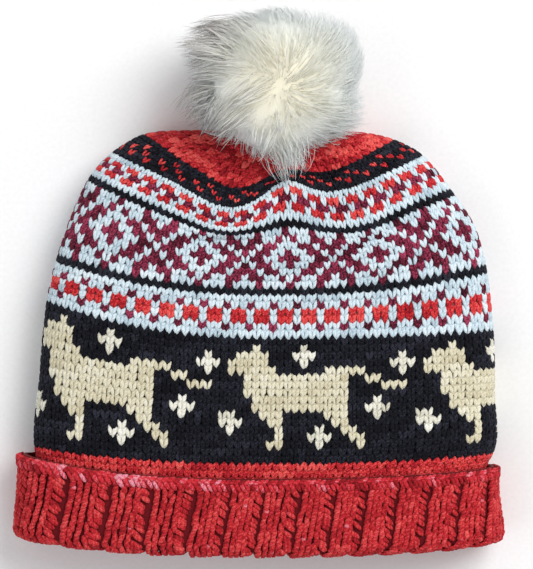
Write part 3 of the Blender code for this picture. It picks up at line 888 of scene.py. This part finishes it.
# %% Yarn on the cuff
RIB_YARN_HALF_WIDTH = 0.00146
RIB_YARN_HALF_THICKNESS = 1.15 * YARN_HALF_THICKNESS
RIB_FULLNESS = 1.01             # rib springs together, so its yarn fills more of its column
RIB_PLUMP_CHANCE = 0.07
GROOVE_AT = -0.24               # where the rib is deepest, between a purl and the next knit column
GROOVE_DEPTH = 0.0016
GROOVE_WALL = 0.14              # share of a rib pair in which the knit column rises from the groove


def cuff_yarn(path, pair, row, width, depth, mirror=1.0, wobble=WOBBLE):
    """Tubes on the cuff, placed in rib pairs and rows of rib. width is a share of a rib pair.

    From the groove the surface rises steeply to the knit columns and falls off as a square root
    over the purl bumps to the next groove.
    """
    across, up, lift, share = np.array(path).T
    slip = random.normal(0, wobble, (len(pair), 2))
    pair_at = pair[:, None] + (across * mirror + slip[:, :1]) * width
    row_at = row[:, None] + up + slip[:, 1:]
    phase = (pair_at - GROOVE_AT) % 1.0
    sunk = GROOVE_DEPTH * (1 - np.minimum(phase / GROOVE_WALL, 1) * np.sqrt(1 - phase))
    points, normals = laid_on(cuff_points, cuff_out, pair_place(pair_at, row_at), level_of(row_at),
                              lift * LIFT - depth - sunk)
    pitch = spacing(cuff_points, pair_place(pair - width / 2, row), pair_place(pair + width / 2, row),
                    level_of(row))
    plump = 1 + random.normal(0, RIB_PLUMP_CHANCE, len(pair))
    thick = RIB_YARN_HALF_THICKNESS * plump
    wide = np.minimum(pitch * LEG_HALF_WIDTH * RIB_FULLNESS, RIB_YARN_HALF_WIDTH) * plump
    return yarn_tubes(points, normals, wide[:, None] * share, thick[:, None] * share)


# %% Knit the cuff
KNIT_AT = (-0.03, 0.31)         # columns' middles, as shares of a rib pair from its measured middle
PURL_AT = 0.57
KNIT_WIDTH, PURL_WIDTH = 0.35, 0.25
KNIT_DEPTH, PURL_DEPTH = -0.0001, 0.0002
PURL_WOBBLE = 0.15
PURL_PITCH = 0.64               # rows of rib between two purl bumps
FIRST_RIB_ROW = 0.9             # rows of rib from the cast-on edge to the first stitch
RIB_SPREAD = 0.35
TUBE_AROUND, TUBE_UP = 0.013, 0.31      # how far the slow waves of shade go from tube to tube
RIB_LEG = (
    Step(0.12, -0.62, -1.10, 0.00),
    Step(0.16, -0.24, 0.15, 0.78),
    Step(0.22, 0.20, 0.65, 1.04),
    Step(0.28, 0.66, 0.50, 1.08),
    Step(0.33, 1.06, -0.30, 0.85),
    Step(0.36, 1.42, -1.40, 0.00),
)
PURL_BUMP = (
    Step(-0.64, -0.58, -1.30, 0.00),
    Step(-0.40, -0.36, 0.00, 0.84),
    Step(-0.13, -0.12, 0.60, 1.10),
    Step(0.14, 0.12, 0.65, 1.10),
    Step(0.38, 0.38, 0.20, 0.88),
    Step(0.60, 0.66, -1.20, 0.00),
)
RIB_ROWS = int(cuff_rows[-1])


def every_pair(pitch):
    """Every rib pair at every row of rib, as two flat arrays. The rows are so many pitches apart."""
    grid = np.meshgrid(np.arange(RIB_PAIRS), np.arange(0, RIB_ROWS, pitch))
    return (values.ravel().astype(float) for values in grid)


def cuff_piece(name, parts, spread, lighter=0.0, yarn="cuff_red"):
    """A piece of the cuff from its tubes, with a shade for each tube."""
    points, quads, triangles, ply = joined(parts)
    tube = np.arange(sum(len(part[0]) for part in parts))
    shade = np.clip(stitch_shade(tube * TUBE_AROUND, tube * TUBE_UP, spread) + lighter, 0, 1)
    return mesh_piece(name, points, quads, triangles, YARNS[yarn],
                      np.repeat(shade, len(points) // len(tube)), ply)


knit_pair, knit_row = every_pair(1)
knit_parts = [cuff_yarn(RIB_LEG, knit_pair + column, knit_row + FIRST_RIB_ROW, KNIT_WIDTH, KNIT_DEPTH,
                        mirror)
              for column in KNIT_AT for mirror in (-1.0, 1.0)]
purl_pair, purl_row = every_pair(PURL_PITCH)
purl_parts = [cuff_yarn(PURL_BUMP, purl_pair + PURL_AT, purl_row + FIRST_RIB_ROW, PURL_WIDTH,
                        PURL_DEPTH, wobble=PURL_WOBBLE)]
cuff_pieces = [cuff_piece("rib_knit", knit_parts, RIB_SPREAD),
               cuff_piece("rib_purl", purl_parts, RIB_SPREAD)]

# %% [markdown]
# ## The cast-on edge
#
# The rib was begun with a long-tail cast-on, which leaves a cord along the edge: slanted loops that
# lie half over each other. Two rows of short fat tubes, slanted opposite ways, make that cord. On
# the left the hand-dyed yarn has a pale pink stretch, a bell curve along the cord.

# %% The cord along the cast-on edge
EDGE_CORD = (
    Step(-0.60, 0.42, -0.90, 0.00),
    Step(-0.34, 0.26, 0.10, 0.90),
    Step(-0.10, 0.08, 0.60, 1.10),
    Step(0.14, -0.08, 0.60, 1.10),
    Step(0.38, -0.24, 0.10, 0.90),
    Step(0.62, -0.40, -0.90, 0.00),
)
EDGE_LOOPS_PER_PAIR = 7
EDGE_WIDTH = 0.20               # of a rib pair, for one loop
EDGE_ROWS = (0.42, 1.10)        # of rib from the edge, for the cord's two rows of loops
EDGE_DEPTHS = (-0.0009, -0.0008)
EDGE_STAGGER = 0.07             # of a rib pair, between the two rows
EDGE_SLANT = -0.8               # how much the second row slants the other way
EDGE_SPREAD = 0.8
PALE_PAIR, PALE_REACH = 2.2, 1.5        # the rib pair where the yarn is palest, and how far that goes
PALE_MORE, PALE_LESS = 0.34, 0.14       # lighter there, darker elsewhere

other_cord = [step._replace(up=step.up + EDGE_SLANT * step.across) for step in EDGE_CORD]
edge_pair = np.arange(RIB_PAIRS * EDGE_LOOPS_PER_PAIR) / EDGE_LOOPS_PER_PAIR
edge_parts = [
    cuff_yarn(cord, edge_pair + stagger, np.full(len(edge_pair), row), EDGE_WIDTH, depth, mirror)
    for cord, stagger, row, depth, mirror in zip(
        (EDGE_CORD, other_cord), (0.0, EDGE_STAGGER), EDGE_ROWS, EDGE_DEPTHS, (1.0, -1.0))
]
pale_stretch = PALE_MORE * np.exp(-((edge_pair - PALE_PAIR) / PALE_REACH) ** 2) - PALE_LESS
cuff_pieces.append(cuff_piece("cast_on_edge", edge_parts, EDGE_SPREAD, np.tile(pale_stretch, 2),
                              "edge_red"))

# %% [markdown]
# ## The rib behind its stitches
#
# The grooves show the rib's back, which lies in their shade. A sheet along the middle of the cuff's
# wall stands for it, thickened to both sides by Solidify, in a red darker than the cuff's wool:
# painted shade for the grooves.

# %% The sheet of the cuff under its stitches
CUFF_SHELL_LEVELS = 2
CUFF_SHELL_WALL = 0.0021
EVEN_SHADE = 0.5
# Painted shade: the backing's reds are darker than the cuff's wool, so that the grooves look dark.
cuff_back = wool("rib_backing_shade_wool", ("#3E0910", "#650F17", "#8A1A22"), RED_FUZZ)
cuff_middle = (cuff_points - cuff_out * (CUFF_WALL / 2))[::CUFF_SHELL_LEVELS, :-1:SHELL_PLACES]
cuff_shell = mesh_piece("cuff_backing", cuff_middle, grid_quads(*cuff_middle.shape[:2])[:, ::-1],
                        np.zeros((0, 3), int), cuff_back, np.full(cuff_middle.shape[:2], EVEN_SHADE))
add_wall(cuff_shell, CUFF_SHELL_WALL, 0.0)

# %% [markdown]
# ## The pompom
#
# A faux-fur pompom is a ball of pile fabric, stuffed and tied to the crown. Its acrylic fibres are
# about 40 mm long. They part near the middle of the front, sweep away from there, and end on the
# uneven outline that the solid has too. The ball is as large as the solid's, and it sits where a
# ball of that size would first touch the crown's skin along the line of its tie.

# %% The ball under the fur
BALL_RADIUS = 0.0300
TIE_GAP = 0.0006
TIE_SLOPE = math.radians(40)
SEAT_LEVELS, SEAT_PLACES = 2, 6         # of the body's grid, where the seat is looked for
tie = np.array([0.0, math.cos(TIE_SLOPE), math.sin(TIE_SLOPE)])
crown_tip = body_points[-1].mean(axis=0)
offset = body_points[::SEAT_LEVELS, ::SEAT_PLACES].reshape(-1, 3) - crown_tip
along_tie = offset @ tie
beside = np.maximum((offset**2).sum(axis=1) - along_tie**2, 0.0)
near = beside < (BALL_RADIUS + TIE_GAP) ** 2
seat = (along_tie[near] + np.sqrt((BALL_RADIUS + TIE_GAP) ** 2 - beside[near])).max()
ball_centre = crown_tip + tie * seat
print("middle of the pompom in mm:", np.round(ball_centre * 1000, 1))

# %% [markdown]
# ## Fur lies on the crown
#
# Real fur can't go through the knitting, so the strands need to know how high the crown is under
# them. Shrinkwrap could push them out one piece at a time. A map of heights is simpler: the crown's
# highest point in each square millimetre, and a strand's points are raised above it.

# %% A map of the crown's height
CELL = 0.001
MAP_HALF = 0.15
FRONT_FROM = 0.35               # a point above this share of the crown's height is on its front
cells = int(2 * MAP_HALF / CELL)
crown_height = np.zeros((cells, cells))


def cell_of(points):
    """The map's cell under each point, as two whole numbers."""
    return tuple(np.clip(((points[..., i] + MAP_HALF) / CELL).astype(int), 0, cells - 1) for i in (0, 1))


def over_crown(points, clearance):
    """The points, raised where they would go into the crown's front or the ground."""
    crown = crown_height[cell_of(points)]
    floor = np.where(points[..., 2] > FRONT_FROM * crown, crown + clearance, 0.0)
    raised = points.copy()
    raised[..., 2] = np.maximum(points[..., 2], np.maximum(floor, clearance))
    return raised


np.maximum.at(crown_height, cell_of(body_points), body_points[..., 2])
print("highest point of the crown in mm:", round(float(crown_height.max() * 1000), 1))

# %% [markdown]
# ## Where the fur goes
#
# The pile grows straight out of the ball, and is then combed away from its parting and swirled a
# little. Its tips end on an outline in plan, which a table of angles and reaches gives, and on a
# height above the ball.

# %% Directions and tips of the fur
FUR_RADIUS = 0.0468
FUR_RISE = 0.0440
FUR_FULLNESS = 0.5              # the power that fills out the sides: 1 would be an ellipsoid
LEAST_LEVEL = 0.02
PARTING = np.array([[0.05, 0.12], [0.20, -0.47]])       # from and to, in shares of the fur's reach
COMBED = 0.60                   # how far the locks are combed away from the parting
GOLDEN_ANGLE = math.pi * (3.0 - math.sqrt(5.0))
Reach = namedtuple("Reach", "angle share")
FUR_OUTLINE = (
    Reach(0, 0.90), Reach(20, 1.03), Reach(40, 1.07), Reach(58, 0.96), Reach(77, 0.88),
    Reach(96, 0.91), Reach(115, 0.88), Reach(129, 1.05), Reach(154, 1.16), Reach(170, 0.98),
    Reach(182, 0.95), Reach(192, 1.14), Reach(208, 1.04), Reach(221, 0.92), Reach(239, 0.80),
    Reach(262, 0.86), Reach(279, 1.02), Reach(296, 0.82), Reach(320, 0.88), Reach(335, 1.14),
    Reach(343, 1.04), Reach(360, 0.90),
)


def sphere_directions(count, chance):
    """Directions spread evenly over a ball along a golden spiral, each moved a little by chance."""
    index = np.arange(count) + 0.5
    height = 1 - 2 * index / count
    level = np.sqrt(1 - height**2)
    turn = index * GOLDEN_ANGLE
    made = np.column_stack((level * np.cos(turn), level * np.sin(turn), height))
    return unit(made + random.normal(0, chance, made.shape))


def plan_angle(directions):
    """Degrees in plan, from the hat's right side towards its crown."""
    return np.degrees(np.arctan2(directions[:, 1], directions[:, 0])) % 360


def fur_tips(directions):
    """Where fur ends: on the outline's reach in plan, and on the fur's rise above the ball."""
    level = np.maximum(np.hypot(directions[:, 0], directions[:, 1]), LEAST_LEVEL)
    share = np.interp(plan_angle(directions), *np.array(FUR_OUTLINE).T)
    breadth = (FUR_RADIUS * share * level ** (FUR_FULLNESS - 1))[:, None]
    return ball_centre + np.column_stack((directions[:, :2] * breadth, directions[:, 2] * FUR_RISE))


def combed(directions, angle):
    """Directions pushed away from the parting and turned about the vertical by an angle."""
    pushed = directions * [1, 1, 1 - COMBED / 2]
    line = PARTING[1] - PARTING[0]
    along = np.clip((directions[:, :2] - PARTING[0]) @ line / (line @ line), 0, 1)
    pushed[:, :2] += COMBED * (directions[:, :2] - PARTING[0] - along[:, None] * line)
    x, y, z = pushed.T
    c, s = np.cos(angle), np.sin(angle)
    return unit(np.column_stack((x * c - y * s, x * s + y * c, z)))


# %% [markdown]
# ## Locks
#
# On the left and below, the real fibres cling together in locks that stand apart, and some locks
# there have brown tips. Elsewhere the pile lies smooth. So the fur is first laid out as locks, each
# with its own direction, swirl, tip and length.

# %% Lay out the locks
LOCKS = 210
LOCK_CHANCE = 0.06
LOCK_SWIRL = math.radians(14)
SWIRL_CHANCE = 0.5
BARE_SIDE = -0.72               # no fur grows where the ball meets the crown
WISPY_FROM, WISPY_TO = 115, 300         # degrees in plan: the sides where the locks stand apart
UNEVEN_WISPY, UNEVEN_SMOOTH = 0.10, 0.03        # how much the locks differ in length
SHORTEST_LOCK, LONGEST_LOCK = 0.8, 1.14

lock_direction = sphere_directions(LOCKS, LOCK_CHANCE)
lock_direction = lock_direction[lock_direction @ tie > BARE_SIDE]
lock_swirl = LOCK_SWIRL * (1 + random.normal(0, SWIRL_CHANCE, len(lock_direction)))
lock_tips = fur_tips(combed(lock_direction, lock_swirl))
lock_angle = plan_angle(lock_tips - ball_centre)
lock_wispy = (lock_angle > WISPY_FROM) & (lock_angle < WISPY_TO)
uneven = np.where(lock_wispy, UNEVEN_WISPY, UNEVEN_SMOOTH)
lock_length = np.clip(1 + random.normal(0, 1, len(uneven)) * uneven, SHORTEST_LOCK, LONGEST_LOCK)
lock_tips = ball_centre + (lock_tips - ball_centre) * lock_length[:, None]
print("locks:", len(lock_direction), "of them wispy:", int(lock_wispy.sum()))

# %% [markdown]
# ## Strands
#
# Hair particles could grow the fibres, but a mesh of thin tubes keeps its shape in every export. A
# real fibre is about 0.05 mm thick, too fine to show, so one tube stands for a few of them. It is a
# curve from its root over a bend to its tip. In a wispy lock the tips gather round the lock's own,
# and where the fur is smooth each strand mostly goes its own way.

# %% Lay out the strands
STRANDS_PER_LOCK = 48
STRAND_CHANCE = 0.17
STRAND_SHORTER = 0.30           # the most that a strand is shorter than its lock
TIPS_WISPY, TIPS_SMOOTH = 0.26, 0.62            # how far the tips of a lock spread
TIP_CHANCE = 0.0010
OWN_WAY = 0.65                  # how far a strand goes its own way, off the wispy side
ROOT_AT, BEND_AT = 0.6, 0.84            # of the ball's radius, and of the lock's reach

of_lock = np.repeat(np.arange(len(lock_direction)), STRANDS_PER_LOCK)
own_chance = random.normal(0, STRAND_CHANCE, (len(of_lock), 3))
strand_direction = unit(lock_direction[of_lock] + own_chance)
lock_reach = np.linalg.norm(lock_tips - ball_centre, axis=1)[of_lock][:, None]
apart = (strand_direction - lock_direction[of_lock]) * lock_reach
shorter = (1 - STRAND_SHORTER * random.random(len(of_lock)) ** 2)[:, None]
tips_spread = np.where(lock_wispy, TIPS_WISPY, TIPS_SMOOTH)[of_lock][:, None]
strand_tips = ball_centre + (lock_tips[of_lock] - ball_centre) * shorter
strand_tips += apart * tips_spread + random.normal(0, TIP_CHANCE, apart.shape)
own_tips = fur_tips(combed(strand_direction, lock_swirl[of_lock]))
own_tips = ball_centre + (own_tips - ball_centre) * shorter
strand_tips += (own_tips - strand_tips) * np.where(lock_wispy, 0.0, OWN_WAY)[of_lock][:, None]
strands = (ball_centre + strand_direction * BALL_RADIUS * ROOT_AT,
           ball_centre + strand_direction * lock_reach * BEND_AT, strand_tips)
print("strands:", len(of_lock))

# %% [markdown]
# ## Faux fur
#
# Modacrylic pile is glossy and nearly clear, so in depth it is warm and creamy and at its surface
# bluish white. Some tips on the left were printed grey-brown. The strand's own attribute runs from
# root to tip, and less far on strands that look up at the viewer, where one sees into the pile.

# %% The fur's material
FIBRES_ROUND = 60.0             # noise cells once round a strand, so that no two strands are alike
FIBRE_WAVES = 45.0              # changes along a fibre, per metre
STREAK = 0.7                    # how far a streak moves the colour towards root or tip


def faux_fur(name, stops):
    """Modacrylic pile, coloured from root to tip, in fine streaks along it, with a smooth sheen."""
    material, tree, shader = new_material(
        name, {"Roughness": 0.55, "Sheen Weight": 0.8, "Sheen Roughness": 0.35})
    along = add_node(tree, "ShaderNodeAttribute", {"attribute_name": "shade"})
    ply = add_node(tree, "ShaderNodeAttribute", {"attribute_name": "ply"})
    fibres = add_node(tree, "ShaderNodeVectorMath", {"operation": "MULTIPLY"},
                      links={0: ply.outputs["Vector"]}, values={1: (FIBRES_ROUND, FIBRE_WAVES, 1.0)})
    streak = add_node(tree, "ShaderNodeTexNoise", values={"Scale": 1.0, "Detail": 3.0},
                      links={"Vector": fibres.outputs["Vector"]})
    moved = add_node(tree, "ShaderNodeMath", {"operation": "MULTIPLY_ADD"},
                     links={0: streak.outputs["Fac"], 2: along.outputs["Fac"]}, values={1: STREAK})
    level = add_node(tree, "ShaderNodeMath", {"operation": "SUBTRACT"},
                     links={0: moved.outputs[0]}, values={1: STREAK / 2})
    ramp = colour_ramp(tree, level.outputs[0], stops)
    tree.links.new(ramp.outputs["Color"], shader.inputs["Base Color"])
    bump = add_node(tree, "ShaderNodeBump", links={"Height": streak.outputs["Fac"]},
                    values={"Strength": 0.35, "Distance": 0.0006})
    tree.links.new(bump.outputs["Normal"], shader.inputs["Normal"])
    return material


white_fur = faux_fur("white_faux_fur", ((0.0, "#F1EACE"), (0.35, "#F5F3E4"), (0.65, "#F3F8F5"),
                                        (1.0, "#ECF4F6")))
tipped_fur = faux_fur("tipped_faux_fur", ((0.0, "#F8F1D6"), (0.4, "#F4F4EE"), (0.7, "#C4BEB8"),
                                          (0.95, "#7E716A")))

# %% Grow the fur
ROOT_HALF_WIDTH = 0.00024
STRAND_TAPER, TAPER_POWER = 0.00014, 1.5        # how much thinner it is at its tip, and how late
STRAND_FLATNESS = 0.8
STRAND_SIDES, STRAND_STEPS = 3, 7
FUR_CLEARANCE = 0.0012
OWN_STREAKS = 7.3               # how far the streaks of one strand are from the next one's
CREAM_ON_TOP = 0.55             # how much nearer to its root's colour a strand that points up stays
BROWN_TO = 225                  # degrees in plan where the brown tips end
BROWN_SHARE = 0.55              # of the locks there


def fur_piece(name, chosen, material):
    """A piece of fur: a tube along each chosen strand, thinner to its tip.

    A strand's path is (1-t)² root + 2t(1-t) bend + t² tip. Its half width is the root's less the
    taper times a power of t.
    """
    root, bend, tip = (points[chosen][:, None] for points in strands)
    share = np.linspace(0, 1, STRAND_STEPS)
    t = share[:, None]
    paths = over_crown(root * (1 - t) ** 2 + bend * 2 * t * (1 - t) + tip * t**2, FUR_CLEARANCE)
    half_width = ROOT_HALF_WIDTH - STRAND_TAPER * share**TAPER_POWER
    widths = np.broadcast_to(half_width, paths.shape[:2])
    points, quads, triangles, ply = yarn_tubes(paths, unit(paths - ball_centre), widths,
                                               widths * STRAND_FLATNESS, sides=STRAND_SIDES)
    strand = np.arange(len(paths))
    own = np.column_stack((OWN_STREAKS * strand, 0 * strand))[:, None]
    rise = np.clip((bend[:, 0] - ball_centre)[:, 2] / FUR_RISE, 0, 1)
    creamy = (1 - CREAM_ON_TOP * rise**2)[:, None]
    root_to_tip = np.concatenate((share[:1], np.repeat(share[1:-1], STRAND_SIDES), share[-1:]))
    return mesh_piece(name, points, quads, triangles, material, creamy * root_to_tip, ply + own)


brown_lock = (lock_angle < BROWN_TO) & (random.random(len(lock_angle)) < BROWN_SHARE) & lock_wispy
brown, even = brown_lock[of_lock], of_lock % 2 == 0
fur_pieces = [
    fur_piece("fur_white_locks_even", ~brown & even, white_fur),
    fur_piece("fur_white_locks_odd", ~brown & ~even, white_fur),
    fur_piece("fur_tipped_locks", brown, tipped_fur),
]

# %% [markdown]
# ## The undercoat
#
# Under the long pile lies a dense short one, which hides the pile fabric. It is a closed, slightly
# flat ball inside the strands, in the same fibre and streaks.
# A point of it is a direction times the fur's reach in plan and its rise, both made smaller.

# %% The undercoat
COAT_REACH = 0.74
COAT_LAPS = 10.0                # times that the streaks go round: about 0.35 mm each
COAT_ROWS, COAT_COLUMNS = 44, 96
COAT_END = 0.05                 # radians from a pole to the first ring
COAT_CLEARANCE = 0.0006
COAT_DEEP, COAT_PALER = 0.1, 0.6        # its colour at the poles, and how much nearer the tips' beside

coat_turn, coat_tilt = np.meshgrid(
    np.arange(COAT_COLUMNS) / COAT_COLUMNS * 2 * math.pi - math.pi / 2,
    np.linspace(COAT_END, math.pi - COAT_END, COAT_ROWS))
coat_direction = np.stack((np.cos(coat_turn) * np.sin(coat_tilt),
                           np.sin(coat_turn) * np.sin(coat_tilt), -np.cos(coat_tilt)), axis=-1)
coat_direction = np.concatenate((coat_direction.reshape(-1, 3), [[0, 0, -1], [0, 0, 1]]))
coat_level = np.hypot(coat_direction[:, 0], coat_direction[:, 1])
coat_breadth = COAT_REACH * FUR_RADIUS * np.maximum(coat_level, TINY) ** (FUR_FULLNESS - 1)
coat_points = over_crown(ball_centre + np.column_stack((
    coat_direction[:, :2] * coat_breadth[:, None],
    coat_direction[:, 2] * FUR_RISE * COAT_REACH)), COAT_CLEARANCE)
coat_lap = np.append((coat_turn.ravel() + math.pi / 2) / (2 * math.pi) * COAT_LAPS, [0, 0])
low_pole, high_pole = len(coat_points) - 2, len(coat_points) - 1
coat_ends = np.concatenate((
    end_triangles(0, COAT_COLUMNS, low_pole)[:, [1, 0, 2]],
    end_triangles((COAT_ROWS - 1) * COAT_COLUMNS, COAT_COLUMNS, high_pole)))
pompom_ball = mesh_piece(
    "fur_undercoat", coat_points, grid_quads(COAT_ROWS, COAT_COLUMNS), coat_ends, white_fur,
    COAT_DEEP + COAT_PALER * coat_level, np.column_stack((coat_lap, coat_level * BALL_RADIUS)))

# %% [markdown]
# ## Tie the looks to the solids
#
# Each piece rides on the hat's one body and stands for the solid that it dresses, which is hidden.

for piece in (*body_pieces, body_shell, *cuff_pieces, cuff_shell, *fur_pieces, pompom_ball):
    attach(piece, "root")
for piece in (*body_pieces, body_shell):
    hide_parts("knit_body")
for piece in (*cuff_pieces, cuff_shell):
    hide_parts("ribbed_cuff")
for piece in (*fur_pieces, pompom_ball):
    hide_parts("fur_pompom")

# %% [markdown]
# ## Floor, light and camera
#
# The photograph was taken from above, in soft light that is brighter from the upper right. A pale
# plain floor, two large soft lights and a weak even surround give the same. The camera looks
# straight down from far off, so that the hat's front keeps its proportions.

# %% Floor
PAPER_GRAIN = 0.002             # the size of the soft clouds in matt paper
FLOOR_HALF = 3
FLOOR_DROP = 0.0002             # so that the floor and the hat's back don't flicker in each other
paper, paper_tree, paper_shader = new_material("matt_paper", {"Roughness": 0.9})
paper_place = add_node(paper_tree, "ShaderNodeTexCoord")
grain = add_node(paper_tree, "ShaderNodeTexNoise", values={"Scale": 1 / PAPER_GRAIN, "Detail": 3.0},
                 links={"Vector": paper_place.outputs["Object"]})
pale = colour_ramp(paper_tree, grain.outputs["Fac"], ((0.3, "#F6F6F6"), (0.7, "#FBFBFB")))
paper_tree.links.new(pale.outputs["Color"], paper_shader.inputs["Base Color"])
floor_corners = [(x * FLOOR_HALF, y * FLOOR_HALF, 0) for x, y in ((-1, -1), (1, -1), (1, 1), (-1, 1))]
floor_mesh = bpy.data.meshes.new("floor")
floor_mesh.from_pydata(floor_corners, [], [(0, 1, 2, 3)])
floor_mesh.materials.append(paper)
floor = in_scene("floor", floor_mesh)
floor.location.z = -FLOOR_DROP

# %% Light
HAT_MIDDLE = (0, 0, 0.03)
SURROUND_STRENGTH = 0.49


def soft_light(name, place, size, watts, colour):
    """A square area light that looks at the hat."""
    light = bpy.data.lights.new(name, "AREA")
    light.size = size
    light.energy = watts
    light.color = linear(colour)[:3]
    made = in_scene(name, light)
    made.location = place
    from_hat = np.array(place) - np.array(HAT_MIDDLE)
    made.rotation_euler = (math.acos(from_hat[2] / np.linalg.norm(from_hat)), 0,
                           math.atan2(from_hat[1], from_hat[0]) + math.pi / 2)


soft_light("window", (0.9, 0.8, 1.5), size=1.1, watts=26.5, colour="#FFFFFF")
soft_light("bounce", (-1.2, -0.5, 1.3), size=1.4, watts=6, colour="#F4F8FF")
world = bpy.data.worlds.new("surround")
world.use_nodes = True
surround = world.node_tree.nodes["Background"]
surround.inputs["Color"].default_value = linear("#FFFFFF")
surround.inputs["Strength"].default_value = SURROUND_STRENGTH
bpy.context.scene.world = world
bpy.context.scene.view_settings.view_transform = "Standard"     # plain sRGB keeps white wool white

# %% Camera
PIXEL = 0.00052                 # metres of the hat's front for one pixel of the photograph
PICTURE_WIDTH, PICTURE_HEIGHT = 533, 569
FRONT_MIDDLE_X, FOLD_Y = 258.5, 556.0   # pixels where the hat's own X = 0 and Y = 0 are seen
CAMERA_FAR = 1.5                # above the hat's front
SENSOR = 36.0                   # millimetres, as the lens is
CLIP_END = 20
look_x = (PICTURE_WIDTH / 2 - FRONT_MIDDLE_X) * PIXEL + shift[0]
look_y = (FOLD_Y - PICTURE_HEIGHT / 2) * PIXEL + shift[1]
camera_data = bpy.data.cameras.new("camera")
camera_data.sensor_width = SENSOR
camera_data.lens = SENSOR * CAMERA_FAR / (PICTURE_HEIGHT * PIXEL)
camera_data.clip_end = CLIP_END
camera = in_scene("camera", camera_data)
camera.location = (look_x, look_y, BODY_PUFF + CAMERA_FAR)      # unturned, it looks straight down
bpy.context.scene.camera = camera
print("lens:", round(camera_data.lens, 1), "mm")
